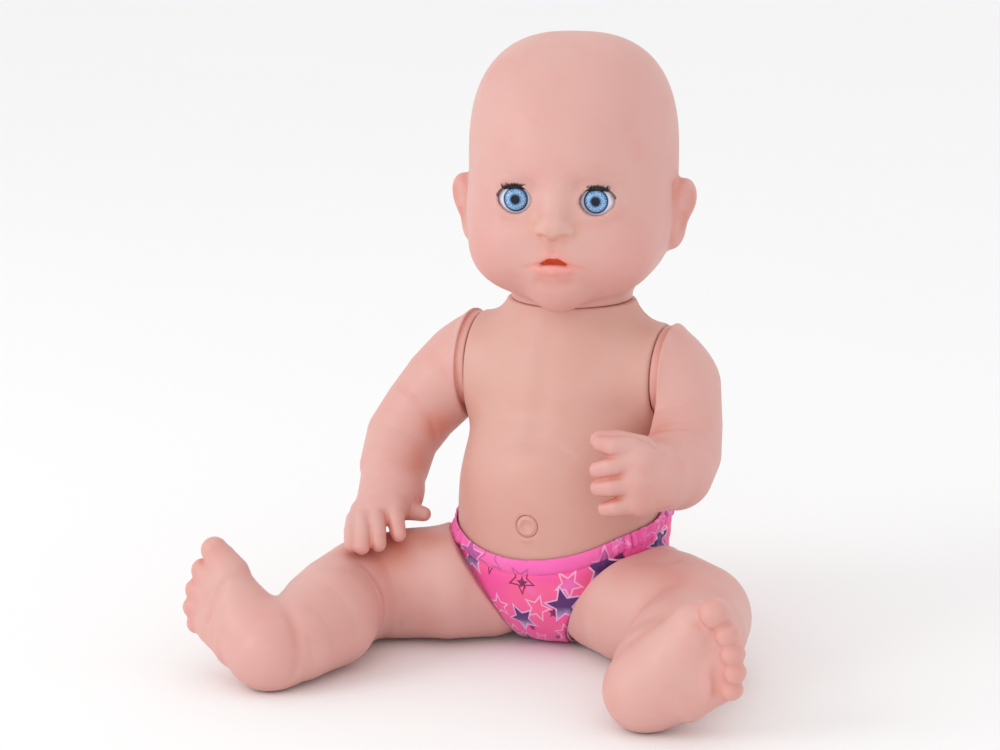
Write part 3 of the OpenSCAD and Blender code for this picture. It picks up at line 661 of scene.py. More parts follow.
LEFT_ARM = dict(
    line=[[48, 2, 110.5, 18.3], [53, -7, 96, 17.2], [57, -18, 87, 16.5], [59.5, -34, 83, 16],
          [56, -49, 84, 13.2]],
    parts=[[[56, -49, 84, 12.5], knuckle]
           for knuckle in ([53, -60, 93, 8], [53, -61, 85, 8.2], [53.5, -60, 77.5, 7.5])],
    tips=[[[50, -62, 98, 5], [44.5, -67, 99.5, 4], [39.5, -68, 100.5, 3.2]],
          [[50, -64, 93, 4.8], [44, -68.5, 91.5, 4], [39, -69, 89.8, 3.5]],
          [[50, -64, 84, 4.8], [44.5, -68.5, 83.3, 4], [39.5, -69, 82.5, 3.5]],
          [[51, -63, 76, 4.4], [46, -67.5, 74.8, 3.6], [42, -68, 73.8, 3.1]],
          [[52, -54, 96, 6], [43, -57, 99, 4.8], [36, -59, 99.5, 4]]],
    low=(30, -80, 60), high=(84, 28, 140),
)
RIGHT_ARM = dict(
    line=[[-50, 1, 111, 18.5], [-58, -1, 103, 17.8], [-67, -4, 92, 16.5], [-74.5, -8, 80, 15.8],
          [-74, -18, 69, 15], [-71, -28, 60, 12.8]],
    parts=[[[-71, -28, 60, 12.3], knuckle]
           for knuckle in ([-65, -39, 56, 6.8], [-70.5, -42, 55.5, 6.8], [-76.5, -43, 54, 6.5])],
    tips=[[[-63.5, -41, 55.5, 4.5], [-60, -47.5, 53, 3.8], [-56.5, -52.5, 48.8, 3.3]],
          [[-70, -45, 54.5, 4.5], [-65.5, -54.5, 52, 3.8], [-61.5, -62, 46.5, 3.4]],
          [[-75, -47, 53, 4.4], [-70, -59, 51, 3.6], [-66.5, -67.5, 46, 3.3]],
          [[-79.5, -47, 51.5, 3.8], [-75.5, -59, 50, 3.1], [-71.5, -68, 46, 2.8]],
          [[-66, -33, 54.5, 5], [-59.5, -32, 53.5, 4], [-54.5, -31, 52.5, 3.2]]],
    low=(-96, -76, 38), high=(-38, 28, 140),
)


def limb(shape, step, knit, tip_knit, roots, folds):
    f = Field(shape["low"], shape["high"], step)
    f.add(rod(shape["line"]))
    for part in shape["parts"]:
        f.add(rod(part), knit)
    for part in shape["tips"]:
        f.add(rod(part), tip_knit)
    for root, root_knit in roots:
        f.add(root, root_knit)
    for points, depth, width in folds:
        f.press(points, depth, width)
    return f


def tip_spots(shape, strength, r):
    return [(*part[-1][:3], r, strength) for part in shape["tips"]]


# The last argument lists spots [x, y, z, radius, strength] of painted shade, where nearby parts shade the
# skin.
def leg(name, shape, side, folds, warm=()):
    root, out = mirrored(HIP + HIP_GAP * HIP_N, side), mirrored(HIP_N, side)
    f = limb(shape, 0.8, 5, 1.8, [(drum(root, out, 25.2, 3, 1), 7)], folds)
    f.cut(beyond(root, -out), 0.6)
    f.cut(beyond((0, 0, 0.15), (0, 0, -1)), 2)
    knee, ankle = shape["line"][3], shape["line"][-1]
    spots = tip_spots(shape, 0.45, 7) + [(*knee[:2], 44, 20, 0.3), (*ankle[:3], 20, 0.2)]
    moulded(f"{name}_leg_skin", f, f"leg_{name}", VINYL, [f"{name}_leg"], spots, warm=warm)


leg("left", LEFT_LEG, 1, [
    ([(61, -37, 46), (56, -46, 40), (52, -50, 32), (55, -53, 22)], 1.2, 2.6),
    ([(75, -92, 42), (62, -92, 34), (57, -95, 22)], 0.8, 4),
    ([(69, -106, 33), (79, -104, 41), (90, -104, 48)], 0.9, 2.4),
    ([(97, -122, 52), (102, -123, 46), (105.5, -122.5, 39), (107, -122, 31), (106.5, -121, 24),
      (106, -120, 17)], 1.3, 1.5),
])
leg("right", RIGHT_LEG, -1, [
    ([(-64, -69, 43), (-57, -69, 36), (-54, -69, 26), (-56, -68, 13)], 0.5, 1.2),
    ([(-60, -61, 43), (-55, -60, 36), (-52, -60, 25), (-54, -58, 10)], 0.45, 1.2),
    ([(-66, -75, 43), (-58, -76, 37), (-54, -77, 28), (-55, -77, 15)], 0.8, 1.6),
    ([(-88, -108, 38), (-78, -117, 37), (-70, -125, 30), (-66, -129, 19), (-68, -130, 8)], 0.9, 2.4),
    ([(-101, -124, 42), (-106, -125, 34), (-108, -125, 27), (-107, -124, 19)], 0.9, 1.8),
], [(-62, -52, 43, 15, 0.75), (-50, -40, 44, 12, 0.5), (-72, -62, 41, 9, 0.5)])

ROOT_X = 42  # an arm reaches this far in, where it turns in the torso's recess
ROOT_CUT_R = 30  # radius of the cut that ends it there, short of the left hand
CLEAR_X, CLEAR_R = 45.5, 42  # round its root, out to CLEAR_R from its axis, an arm stays beyond CLEAR_X


# The last argument lists spots [x, y, z, radius, strength] of painted shade, between the fingers and in the
# folds.
def arm(name, shape, side, folds, warm):
    root = drum(mirrored(SHOULDER, side), (side, 0, 0), ROOT_R - 0.05, 3.6, 0.3)
    ball = egg((side * 43, *SHOULDER[1:]), (16, 20.8, 20.8))
    f = limb(shape, 0.7, 4, 1.4, [(root, 2), (ball, 6)], folds)
    f.cut(drum((side * ROOT_X, *SHOULDER[1:]), (-side, 0, 0), ROOT_CUT_R, 20), 0.3)

    def step(x, y, z):
        """The part of the arm's root that would foul the torso's side."""
        away = np.hypot(y - SHOULDER[1], z - SHOULDER[2])
        return np.maximum(np.maximum(side * x - CLEAR_X, ROOT_R - away), away - CLEAR_R)

    f.cut((np.array(shape["low"]), np.array(shape["high"]), step), 0.6)
    spots = tip_spots(shape, 0.35, 5) + [(*shape["line"][2][:3], 19, 0.25)]
    moulded(f"{name}_arm_skin", f, f"arm_{name}", VINYL, [f"{name}_arm"], spots, warm=warm)


arm("left", LEFT_ARM, 1, [
    ([(50, -30, 99), (56, -31, 100), (62, -29, 101), (69, -28, 99), (75, -27, 92)], 0.9, 1.7),
    ([(56, -56, 100), (61, -56, 97), (64, -55, 90), (65, -55, 82), (62, -55, 73)], 0.6, 1.4),
], [(48, -62, 95, 5, 0.5), (47, -63, 88, 4, 0.4), (48, -62, 79, 4, 0.4), (50, -30, 99, 8, 0.4)])
arm("right", RIGHT_ARM, -1, [
    ([(-73, -15, 104), (-63, -19, 99), (-57, -17, 91), (-57, -12, 81)], 0.8, 1.6),
    ([(-82, -36, 62), (-79, -38, 64), (-74, -37, 68), (-69, -36, 69), (-62, -34, 66), (-58, -31, 59)],
     0.7, 1.4),
], [(-56, -14, 88, 9, 0.6), (-60, -24, 74, 9, 0.45), (-62, -38, 50, 5, 0.5), (-68, -48, 48, 4, 0.4),
    (-73, -50, 48, 4, 0.4)])

# ---------------- eyes
EYES = [("right", -1), ("left", 1)]
EYE_R = 9.5
LID_LINE = math.radians(30)  # where the painted lid begins on the ball, with its lashes


def eye_material():
    """A painted ball: rayed iris, dark rim, pupil, and a lid that comes down when the doll sleeps."""
    s = Shader("eye_paint")
    x, y, z = s.split(s.attribute("eye", "Vector"))
    r = s.math("SQRT", s.math("ADD", s.math("MULTIPLY", x, x), s.math("MULTIPLY", z, z)))
    angle = s.math("ARCTAN2", z, x)
    turn = [s.math("MULTIPLY", s.math(part, angle), 2.0) for part in ("COSINE", "SINE")]
    spin = s.join(*turn, s.math("MULTIPLY", r, 0.22))
    rays = s.noise(spin, 7, 3, 0.7)
    fine = s.noise(spin, 19, 2, 0.6)
    iris = s.mix(s.span(rays, 0.4, 0.62), srgb(58, 112, 172), srgb(158, 200, 232))
    iris = s.mix(s.span(fine, 0.45, 0.7, 0, 0.6), iris, srgb(38, 84, 146))
    pale = s.math("MULTIPLY", s.span(r, 2.2, 2.9), s.span(r, 3.5, 4.2, s.span(rays, 0.42, 0.6), 0))
    iris = s.mix(pale, iris, srgb(176, 212, 238))
    iris = s.mix(s.span(r, 1.9, 2.6, 0.8, 0), iris, srgb(40, 84, 140))
    rim = s.math("ADD", r, s.math("MULTIPLY", rays, 0.5))
    iris = s.mix(s.span(rim, 4.35, 4.95), iris, srgb(28, 52, 98))
    pupil = s.math("ADD", r, s.math("MULTIPLY", fine, 0.5))
    iris = s.mix(s.span(pupil, 1.95, 2.2), srgb(16, 16, 24), iris)
    white = s.mix(s.patches(160, 2), srgb(236, 232, 240), srgb(222, 220, 234))
    white = s.mix(s.span(r, 5.0, 5.4, 0.6, 0), white, srgb(140, 160, 196))
    color = s.mix(s.span(r, 4.9, 5.12), iris, white)
    lift = s.math("ARCTAN2", z, s.math("MULTIPLY", y, -1))
    lid = s.mix(s.patches(200, 2), srgb(229, 168, 156), srgb(222, 156, 146))
    color = s.mix(s.span(lift, LID_LINE - 0.02, LID_LINE), color, srgb(44, 28, 30))
    color = s.mix(s.span(lift, LID_LINE + 0.03, LID_LINE + 0.05), color, lid)
    rough = s.span(lift, LID_LINE, LID_LINE + 0.03, 0.12, 0.45)
    return s.finish(color, rough, Specular_IOR_Level=0.25, Coat_Weight=0.12, Coat_Roughness=0.04)


def wrapped(rows, turns):
    """The faces of a closed shape made of rows of points, with turns points round each."""
    faces = []
    for i in range(rows - 1):
        for j in range(turns):
            k = (j + 1) % turns
            faces.append((i * turns + j, i * turns + k, (i + 1) * turns + k, (i + 1) * turns + j))
    faces.append(tuple(range(turns))[::-1])
    faces.append(tuple(range((rows - 1) * turns, rows * turns)))
    return faces


def revolve(profile, turns):
    """Points and faces of a turned shape: profile is (radius, forward) pairs, from the axis outwards."""
    a = np.linspace(0, 2 * math.pi, turns, endpoint=False)
    rows = [np.stack([r * np.cos(a), np.full(turns, -forward), r * np.sin(a)], 1) for r, forward in profile]
    return np.concatenate(rows), wrapped(len(profile), turns)


def eyeballs():
    material = eye_material()
    for name, side in EYES:
        profile = []
        for i in range(40):
            a = math.radians(0.4 + 4.3 * i)
            cornea = 0.22 * math.exp(-((math.degrees(a) / 24) ** 2))
            profile.append(((EYE_R + cornea) * math.sin(a), (EYE_R + cornea) * math.cos(a)))
        local, faces = revolve(profile, 64)
        points = turned(local + (side * EYE_X, EYE_Y, EYE_Z))
        replaces = ["eyeballs", "irises", "pupils"]
        mesh(f"{name}_eyeball", points, faces, "eyes", material, replaces, {"eye": local})


def tube(path, radius, sides=6):
    """Points and faces of a tube along a path, with a radius at each point."""
    path, radius = np.array(path, float), np.broadcast_to(radius, len(path))
    along = np.gradient(path, axis=0)
    along /= np.maximum(np.linalg.norm(along, axis=1, keepdims=True), 1e-9)
    side = np.cross(along, (0.31, 0.23, 0.92))
    side /= np.linalg.norm(side, axis=1, keepdims=True)
    other = np.cross(along, side)
    a = np.linspace(0, 2 * math.pi, sides, endpoint=False)
    rings = path[:, None] + radius[:, None, None] * (
        np.cos(a)[None, :, None] * side[:, None] + np.sin(a)[None, :, None] * other[:, None]
    )
    return rings.reshape(-1, 3), wrapped(len(path), sides)


def joined(parts):
    points, faces, start = [], [], 0
    for p, f in parts:
        points.append(p)
        faces += [tuple(i + start for i in face) for face in f]
        start += len(p)
    return np.concatenate(points), faces


def on_ball(r, x, lift):
    """A point r from an eye's middle, x to its side and turned up by lift from straight ahead."""
    across = math.sqrt(r * r - x * x)
    return np.array([x, -across * math.cos(lift), across * math.sin(lift)])


def lashes():
    material = plain("lash_fibre", (34, 22, 24), 0.5)
    rng = np.random.default_rng(7)
    taper = 0.26 * (1 - 0.8 * np.linspace(0, 1, 9) ** 2)
    for name, side in EYES:
        place = np.array([side * EYE_X, EYE_Y, EYE_Z])
        parts = []
        for x in np.concatenate([np.linspace(-4.9, 5, 24), rng.uniform(-4.8, 4.8, 10)]):
            outer = (x * side + 5) / 10
            length = rng.uniform(0.55, 1.0) * (0.75 + 0.45 * outer)
            lean = x * 0.10 + rng.uniform(-0.5, 0.5) + 0.5 * side * outer
            path = []
            for t in np.linspace(0, 1, len(taper)):
                r = 9.3 + 3.0 * t * (0.85 + 0.15 * length)
                lift = LID_LINE - 0.03 + math.radians(max(t - 0.6, 0) * 20 * length)
                path.append(on_ball(r, x, lift) + (lean * t**1.6, 0, 0))
            parts.append(tube(np.array(path) + place, taper))
        root = [on_ball(9.45, x, LID_LINE) for x in np.linspace(-5.2, 5.2, 24)]
        parts.append(tube(np.array(root) + place, 0.24))
        points, faces = joined(parts)
        mesh(f"{name}_lashes", turned(points), faces, "eyes", material, ["eyelashes"])


eyeballs()
lashes()

# ---------------- the mouth's lining


def lining():
    s = Shader("mouth_vinyl")
    color = s.mix(s.patches(220, 3), srgb(240, 150, 118), srgb(234, 132, 100))
    s.bump(s.noise(s.place(), 900, 2), 0.00006, 0.4)
    # painted light: a faint glow that keeps the deep cup bright against its own shade
    s.bsdf.inputs["Emission Color"].default_value = (*srgb(226, 112, 74), 1)
    s.bsdf.inputs["Emission Strength"].default_value = 0.2
    material = s.finish(color, s.patches(300, 2, low=0.3, high=0.45))
    profile = [(0.3, -9.5), (3.5, -9.4), (5.2, -8.6), (5.9, -7), (5.95, -3), (6.0, 0.2), (6.6, 0.5),
               (7.1, 0.2), (7.2, -1), (7.2, -10), (6.4, -11.6), (4, -12.2), (0.3, -12.3)]
    cup, faces = revolve([(r, forward + 40.1) for r, forward in profile], 48)
    f = Field((-8, -42, 160), (8, -28, 176), 0.45)
    f.add(rod([[0, -31, 163.5, 3.2], [0, -35.5, 164, 3], [0, -38.4, 164.3, 2.4]]))
    f.press([(0, -30, 168), (0, -40, 167.4)], 0.5, 0.9)
    tongue, quads = f.skin()
    points, faces = joined([(cup + (0, 0, 168), faces), (tongue, quads)])
    mesh("mouth_lining", turned(points), faces, "head", material, ["mouth_cup"])


lining()

# ---------------- the navel button


def navel():
    crest = 48.7
    profile = [(0.25, -0.75), (1.2, -0.72), (2.0, -0.6), (2.6, -0.3), (3.1, 0), (3.5, -0.08), (3.9, -0.45),
               (4.3, -0.62), (4.56, -0.75), (4.6, -1), (4.6, -3.8), (0.25, -3.9)]
    points, faces = revolve([(r, crest + forward) for r, forward in profile], 64)
    away = np.hypot(points[:, 0], points[:, 2])
    points[:, 1] += 0.25 * np.exp(-((away / 1.3) ** 2))
    points += (0, 0, NAVEL_Z)
    # painted shade on the inner slope of the button's raised rim
    crease_shade = 0.25 * np.exp(-(((away - 2.3) / 0.7) ** 2))
    mesh("navel_piece", points, faces, "navel", TORSO, ["navel_button"], {"crease_shade": crease_shade})


navel()

# ---------------- panties


def waistline(x, y):
    """Height of the waist's top edge, lowest in front and a little higher on the left."""
    front = np.clip((-18 - y) / 17, 0, 1)
    slope = np.where(y < -10, 0.34 * (y + 10), 0.1 * (y + 10))
    return 55.6 + 0.06 * x + slope + 3.6 * front * (np.minimum(np.abs(x), 42) / 42) ** 2


def hip_edge(p, side):
    """How far points are inside a leg opening's edge."""
    return -((p - mirrored(HIP, side)) @ mirrored(HIP_N, side)) - 0.5


def leg_edge(p):
    return np.minimum(hip_edge(p, -1), hip_edge(p, 1))


POINT_ANGLE = 2 * math.pi / 5  # between two points of a star


def star(s, x, y, cell, size, shift):
    """One layer of scattered stars: inside, outline, a random value for each star, and height in it."""
    x, y = s.math("ADD", x, shift[0]), s.math("ADD", y, shift[1])
    inputs = {"Vector": s.join(x, y), "Scale": 1 / cell, "Randomness": 0.55}
    v = s.node("ShaderNodeTexVoronoi", inputs, voronoi_dimensions="2D", feature="F1")
    seed = s.node("ShaderNodeSeparateColor", {0: v.outputs["Color"]}).outputs
    middle = s.split(v.outputs["Position"])
    dx = s.math("SUBTRACT", x, middle[0])
    dy = s.math("SUBTRACT", y, middle[1])
    r = s.math("SQRT", s.math("ADD", s.math("MULTIPLY", dx, dx), s.math("MULTIPLY", dy, dy)))
    start = s.math("MULTIPLY_ADD", seed[1], 2.0, 10 * POINT_ANGLE)
    turn = s.math("ADD", s.math("ARCTAN2", dy, dx), start)
    fold = s.math("SUBTRACT", s.math("MODULO", turn, POINT_ANGLE), POINT_ANGLE / 2)
    fold = s.math("SUBTRACT", POINT_ANGLE / 2, s.math("ABSOLUTE", fold))
    reach = s.span(seed[2], 0, 1, *size, "LINEAR")
    px = s.math("SUBTRACT", s.math("MULTIPLY", r, s.math("COSINE", fold)), reach)
    py = s.math("MULTIPLY", r, s.math("SINE", fold))
    d = s.math("ADD", s.math("MULTIPLY", px, 0.384), s.math("MULTIPLY", py, 0.923))
    outline = s.span(s.math("ABSOLUTE", s.math("ADD", d, 0.1)), 0.24, 0.42, 1, 0)
    return s.span(d, -0.3, -0.15, 1, 0), outline, seed[0], dy


def print_material():
    s = Shader("printed_fabric")
    x, y, casing_highlight = s.split(s.attribute("print", "Vector"))
    flat = s.join(x, y)
    wide = s.noise(flat, 0.045, 1)
    color = s.mix(s.span(wide, 0.38, 0.62), srgb(254, 88, 172), srgb(254, 102, 158))
    color = s.mix(s.span(s.noise(flat, 0.075, 2), 0.56, 0.76, 0, 0.75), color, srgb(240, 128, 214))
    # Cell, smallest and largest star, shift, share shown, shaded or not, fill and two outline colours.
    layers = [
        (14, (1.7, 2.5), (31, 7), 0.5, False, srgb(108, 28, 92), srgb(138, 36, 92), srgb(108, 28, 92)),
        (17.5, (4.6, 7.0), (4, 21), 0.75, False, None, srgb(150, 28, 78), srgb(252, 186, 226)),
        (23, (7.6, 9.8), (13, 2), 0.85, True, srgb(82, 38, 116), srgb(252, 200, 232), srgb(236, 190, 236)),
    ]
    for cell, size, shift, share, shaded, fill, line, other in layers:
        inside, outline, seed, height = star(s, x, y, cell, size, shift)
        tone = fill
        if shaded:
            across = s.math("ADD", height, s.math("MULTIPLY", wide, 4))
            tone = s.mix(s.span(across, -3.5, 2.0), srgb(206, 178, 232), fill)
            tone = s.mix(s.span(s.noise(flat, 0.16, 3), 0.4, 0.6, 0, 0.5), tone, fill)
        if fill:
            shown = s.span(seed, share - 0.01, share + 0.01, 1, 0)
            color = s.mix(s.math("MULTIPLY", inside, shown), color, tone)
            outline = s.math("MULTIPLY", outline, shown)
        edge = s.mix(s.span(seed, share / 2 - 0.01, share / 2 + 0.01), line, other)
        color = s.mix(outline, color, edge)
    # painted highlight: the waist casing lighter and pinker
    color = s.mix(s.span(casing_highlight, 0.45, 0.55, 0, 0.5), color, srgb(252, 122, 208))
    knit = s.node("ShaderNodeTexWave", {"Vector": flat, "Scale": 0.55, "Distortion": 0.6}, bands_direction="X")
    rows = s.node("ShaderNodeTexWave", {"Vector": flat, "Scale": 0.75}, bands_direction="Y")
    weave = s.math("ADD", knit.outputs["Fac"], rows.outputs["Fac"])
    color = s.mix(s.span(weave, 0.2, 1.6, 0.12, 0), color, srgb(150, 30, 90))
    s.bump(weave, 0.00007, 0.6)
    return s.finish(color, s.span(weave, 0, 2, 0.62, 0.5), Sheen_Weight=0.25, Sheen_Roughness=0.4)


def trim(bm, edge):
    """Cuts a mesh off cleanly where edge(points) is below zero."""
    bm.verts.index_update()
    value = edge(np.array([v.co[:] for v in bm.verts]))
    crossing = [e for e in bm.edges if (value[e.verts[0].index] < 0) != (value[e.verts[1].index] < 0)]
    outer = {v: value[v.index] for v in bm.verts}
    for e in crossing:
        a, b = e.verts
        t = outer[a] / (outer[a] - outer[b])
        new = bmesh.utils.edge_split(e, a, t)[1]
        outer[new] = 0.0
    for face in list(bm.faces):
        on = [loop.vert for loop in face.loops if outer[loop.vert] == 0.0]
        if len(on) == 2 and len(face.verts) > 3:
            try:
                bmesh.utils.face_split(face, on[0], on[1])
            except ValueError:
                pass
    gone = [f for f in bm.faces if min(outer[v] for v in f.verts) < 0]
    bmesh.ops.delete(bm, geom=gone, context="FACES")


def cloth_points():
    """The panties' surface, cut to its edges: the field beneath, points, faces and edges of the rims."""
    f = Field((-52, -56, -3), (52, 44, 74), 0.9)
    body_form(f)
    f.cut(beyond((0, 0, SEAT_Z), (0, 0, -1)), 3)
    p, quads = f.skin(0.45)
    data = bpy.data.meshes.new("cut")
    data.from_pydata(p.tolist(), [], quads.tolist())
    bm = bmesh.new()
    bm.from_mesh(data)
    bpy.data.meshes.remove(data)
    trim(bm, lambda q: hip_edge(q, -1))
    trim(bm, lambda q: hip_edge(q, 1))
    trim(bm, lambda q: waistline(q[:, 0], q[:, 1]) - q[:, 2])
    bmesh.ops.remove_doubles(bm, verts=bm.verts[:], dist=0.12)
    bmesh.ops.subdivide_edges(bm, edges=bm.edges[:], cuts=1, use_grid_fill=True)
    bm.verts.index_update()
    points = np.array([v.co[:] for v in bm.verts])
    faces = [[v.index for v in face.verts] for face in bm.faces]
    rims = [(e.verts[0].index, e.verts[1].index) for e in bm.edges if e.is_boundary]
    bm.free()
    return f, points, faces, rims


def loops(edges):
    """Orders boundary edges into closed loops of point numbers."""
    near = {}
    for a, b in edges:
        near.setdefault(a, []).append(b)
        near.setdefault(b, []).append(a)
    left, out = set(near), []
    while left:
        start = min(left)
        loop, last = [start], None
        left.discard(start)
        while True:
            onward = [v for v in near[loop[-1]] if v != last and v in left]
            if not onward:
                break
            last = loop[-1]
            loop.append(onward[0])
            left.discard(onward[0])
        out.append(loop)
    return out


def runs(points, wanted):
    """The stretches of points that are wanted, without the shortest ones."""
    run, out = [], []
    for point, here in zip([*points, None], [*wanted, False]):
        if here:
            run.append(point)
            continue
        if len(run) > 6:
            out.append(run)
        run = []
    return out


def overlock(path, up, below):
    """The thread round one rim, where it isn't the waist's: its zigzags and its binding, as tubes."""
    step = np.linalg.norm(np.roll(path, -1, 0) - path, axis=1)
    at = np.concatenate([[0], np.cumsum(step)])
    count = int(at[-1] / 0.75)
    even = np.linspace(0, at[-1], count, endpoint=False)

    def spread(a):
        """Values at the rim's points, taken to evenly spaced points."""
        return np.stack([np.interp(even, at, np.append(a[:, i], a[0, i])) for i in range(a.shape[1])], 1)

    at_leg = spread((below > 0.4)[:, None].astype(float))[:, 0] > 0.5
    path, up = spread(path), spread(up)
    along = np.roll(path, -1, 0) - np.roll(path, 1, 0)
    along /= np.maximum(np.linalg.norm(along, axis=1, keepdims=True), 1e-6)
    inward = np.cross(up, along)
    inward *= np.sign(leg_edge(path + inward) - leg_edge(path))[:, None]
    zigzag = path + up * 0.55 + inward * np.where(np.arange(count) % 2, 1.5, 0.05)[:, None]
    binding = path + up * 0.3 - inward * 0.05
    zigzags = [tube(run, 0.2, 5) for run in runs(zigzag, at_leg)]
    return zigzags, [tube(run, 0.33, 6) for run in runs(binding, at_leg)]


def panties():
    f, p, faces, rims = cloth_points()
    n = f.slope(p)
    below = waistline(p[:, 0], p[:, 1]) - p[:, 2]
    leg = leg_edge(p)
    around = np.arctan2(p[:, 0], -(p[:, 1] + 9))
    at_side = np.clip((np.abs(p[:, 0]) - 27) / 12, 0, 1)
    wave = np.sin(around * 62 + 1.3 * np.sin(around * 17)) + 0.5 * np.sin(around * 101 + 2)
    casing = np.exp(-(np.maximum(below - 5.4, 0) ** 2))
    strip = np.clip(1 - leg / 14, 0, 1) * at_side
    lift = 0.75 * casing * np.sin(np.clip(below / 6, 0, 1) * math.pi) ** 0.5
    lift -= 0.45 * np.exp(-(((below - 6.6) / 0.7) ** 2))
    gather = (0.03 + 0.75 * at_side) * wave * (0.35 + 0.65 * casing)
    lift += gather * np.clip(below / 1.5, 0, 1) * np.clip(leg / 2, 0, 1)
    fold = np.sin((below - leg) * 0.55 + 0.6 * np.sin(p[:, 0] * 0.2))
    lift += 0.55 * strip * fold + 0.35 * np.exp(-(((below - 9) / 2.2) ** 2)) * (0.4 + 0.6 * at_side)
    soft = np.sin(p[:, 0] * 0.16 + 0.3 * p[:, 2]) * np.sin(p[:, 2] * 0.22 - p[:, 0] * 0.05)
    lift += 0.3 * soft * np.clip(leg / 6, 0, 1) * np.clip((below - 7) / 5, 0, 1)
    lift += 0.35 * np.exp(-(((leg - 1.4) / 0.9) ** 2)) + 0.3
    lift = np.where(p[:, 2] < 3, np.minimum(lift, 0.12), lift)
    lift = np.maximum(lift, -0.1)
    cloth = p + n * lift[:, None]
    cloth[:, 2] = np.maximum(cloth[:, 2], 0.45)
    arc = 38 * np.arcsin(np.clip((p[:, 2] - 36) / 38, -1, 1))
    out = np.hypot(p[:, 0], p[:, 1] + 9)
    arc = np.where(p[:, 2] < 2, arc - np.maximum(16 - out, 0), np.where(p[:, 2] > 36, p[:, 2] - 36, arc))
    # where the painted highlight of the waist casing goes
    casing_highlight = np.clip(1 - np.maximum(below - 5.9, 0) * 1.5, 0, 1)
    attributes = {"print": np.stack([43 * around, arc, casing_highlight], 1)}
    material = print_material()
    piece = mesh("panties_cloth", cloth, faces, "torso", material,
                 ["panties", "waist_elastic", "leg_elastics"], attributes)
    solid = piece.modifiers.new("cloth", "SOLIDIFY")
    solid.thickness, solid.offset = 0.5 * MM, 1
    light, dark = [], []
    for loop in loops(rims):
        if len(loop) < 40:
            continue
        zigzags, bindings = overlock(cloth[loop], n[loop], below[loop])
        for zigzag in zigzags:
            (light if len(light) <= len(dark) else dark).append(zigzag)
        light += bindings
    threads = (("leg_overlock", light, "overlock_thread", (246, 190, 220)),
               ("leg_overlock_dark", dark, "overlock_dark", (96, 48, 112)))
    for name, tubes, thread, tone in threads:
        points, faces = joined(tubes)
        mesh(name, points, faces, "torso", plain(thread, tone, 0.6))


panties()

# ---------------- finishes of the parts that keep their CAD shape


def board_material():
    s = Shader("board_green")
    tracks = s.node("ShaderNodeTexBrick", {"Vector": s.place(), "Scale": 240, "Mortar Size": 0.06})
    base = s.mix(s.patches(90, 2), srgb(24, 96, 58), srgb(34, 112, 66))
    color = s.mix(s.span(tracks.outputs["Fac"], 0.3, 0.7, 0, 0.6), base, srgb(112, 160, 92))
    s.bump(tracks.outputs["Fac"], 0.00005, 0.5)
    return s.finish(color, s.patches(300, 2, low=0.3, high=0.45))


def battery_material():
    s = Shader("battery_sleeve")
    top = s.span(s.split(s.place())[2], 0.0835, 0.084)
    color = s.mix(top, srgb(38, 40, 46), srgb(196, 122, 58))
    color = s.mix(s.patches(400, 2, 0.4, 0.7, 0, 0.2), color, srgb(120, 120, 126))
    return s.finish(color, s.patches(200, 2, low=0.24, high=0.36), Coat_Weight=0.3)


FINISHES = {
    "torso_plastic": TORSO,
    "skin_vinyl": VINYL,
    "mouth_vinyl": bpy.data.materials["mouth_vinyl"],
    "printed_fabric": bpy.data.materials["printed_fabric"],
    "lash_fibre": bpy.data.materials["lash_fibre"],
    "board_green": board_material(),
    "battery_sleeve": battery_material(),
}
PLAIN_FINISHES = {
    "white_plastic": dict(color=(236, 232, 222), roughness=0.42),
    "grey_plastic": dict(color=(120, 122, 126), roughness=0.5),
    "black_plastic": dict(color=(34, 34, 36), roughness=0.48),
    "steel": dict(color=(190, 190, 192), roughness=0.32, metal=1.0),
    "red_wire": dict(color=(200, 36, 32), roughness=0.4),
    "black_wire": dict(color=(28, 28, 30), roughness=0.4),
    "eye_white": dict(color=(236, 232, 240), roughness=0.2, coat=0.5),
    "iris_blue": dict(color=(90, 150, 205), roughness=0.2, coat=0.5),
    "pupil_black": dict(color=(16, 16, 20), roughness=0.15, coat=0.5),
}
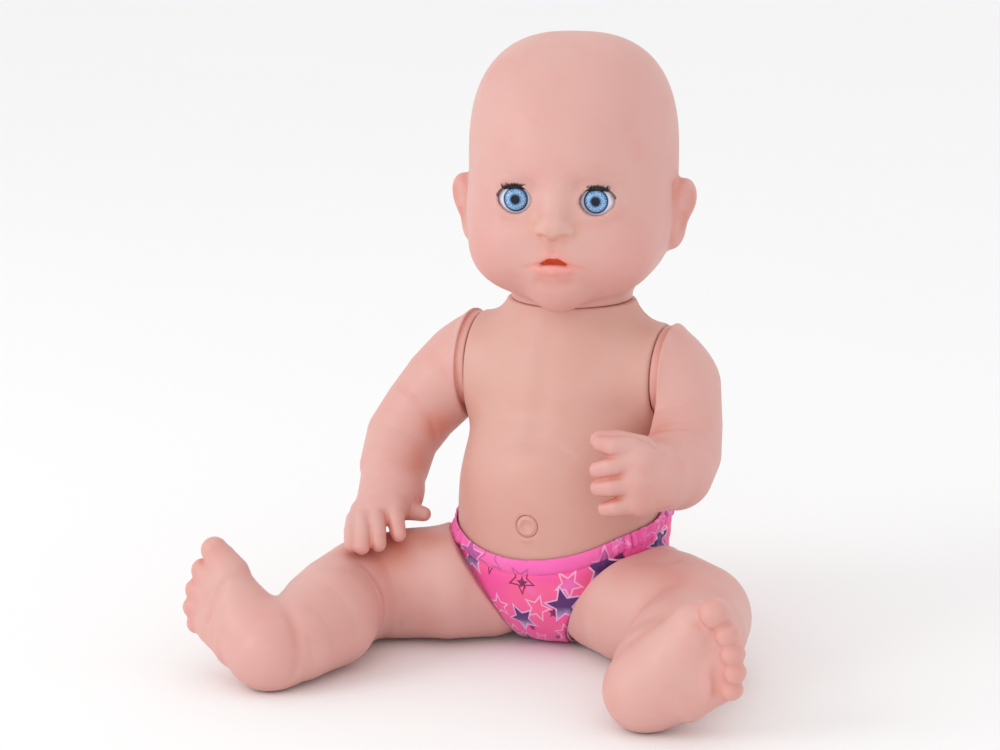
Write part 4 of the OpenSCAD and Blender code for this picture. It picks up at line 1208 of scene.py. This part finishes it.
for name, settings in PLAIN_FINISHES.items():
    FINISHES[name] = plain(name, **settings)

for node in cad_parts.values():
    for part in node.material_slots:
        part.material = FINISHES[part.material.name.split(".")[0]]

# ---------------- camera, floor and light


def look():
    """The camera at the photograph's angle: 22.5 degrees round and 12.2 degrees up, 1.2 m away."""
    data = bpy.data.cameras.new("camera")
    data.sensor_width, data.lens = 36, 99.36
    data.clip_start, data.clip_end = 0.05, 50
    cam = placed("camera", data)
    a, e = math.radians(22.5), math.radians(12.2)
    right = Vector((math.cos(a), math.sin(a), 0))
    back = Vector((math.sin(a) * math.cos(e), -math.cos(a) * math.cos(e), math.sin(e)))
    up = back.cross(right)
    aim = Vector((-36.1, 10.0, 106.7)) * MM
    turn = Matrix((right, up, back)).transposed().to_4x4()
    cam.matrix_world = Matrix.Translation(aim + back * 1.2) @ turn
    bpy.context.scene.camera = cam


def lamp(name, place, size, power, aim=(0, -0.02, 0.1)):
    data = bpy.data.lights.new(name, "AREA")
    data.shape, data.size, data.energy = "DISK", size, power
    o = placed(name, data)
    o.location = place
    o.rotation_mode = "QUATERNION"
    o.rotation_quaternion = (Vector(aim) - Vector(place)).to_track_quat("-Z", "Y")


def studio():
    world = bpy.data.worlds.new("studio")
    bpy.context.scene.world = world
    world.use_nodes = True
    world.node_tree.nodes["Background"].inputs[0].default_value = (1, 1, 1, 1)
    world.node_tree.nodes["Background"].inputs[1].default_value = 0.95
    lamp("key", (-1.2, -1.3, 0.9), 1.1, 8)
    lamp("fill", (0.4, -1.8, 0.6), 1.4, 1.5)
    s = Shader("studio_floor")
    tone = s.mix(s.patches(3, 2), (0.95, 0.95, 0.95), (0.955, 0.955, 0.955))
    floor_material = s.finish(tone, 0.9, Specular_IOR_Level=0.1)
    data = bpy.data.meshes.new("studio_floor")
    data.from_pydata([(-6, -6, 0), (6, -6, 0), (6, 6, 0), (-6, 6, 0)], [], [(0, 1, 2, 3)])
    data.materials.append(floor_material)
    floor = placed("studio_floor", data)


look()
studio()
bpy.context.scene.view_settings.view_transform = "Standard"
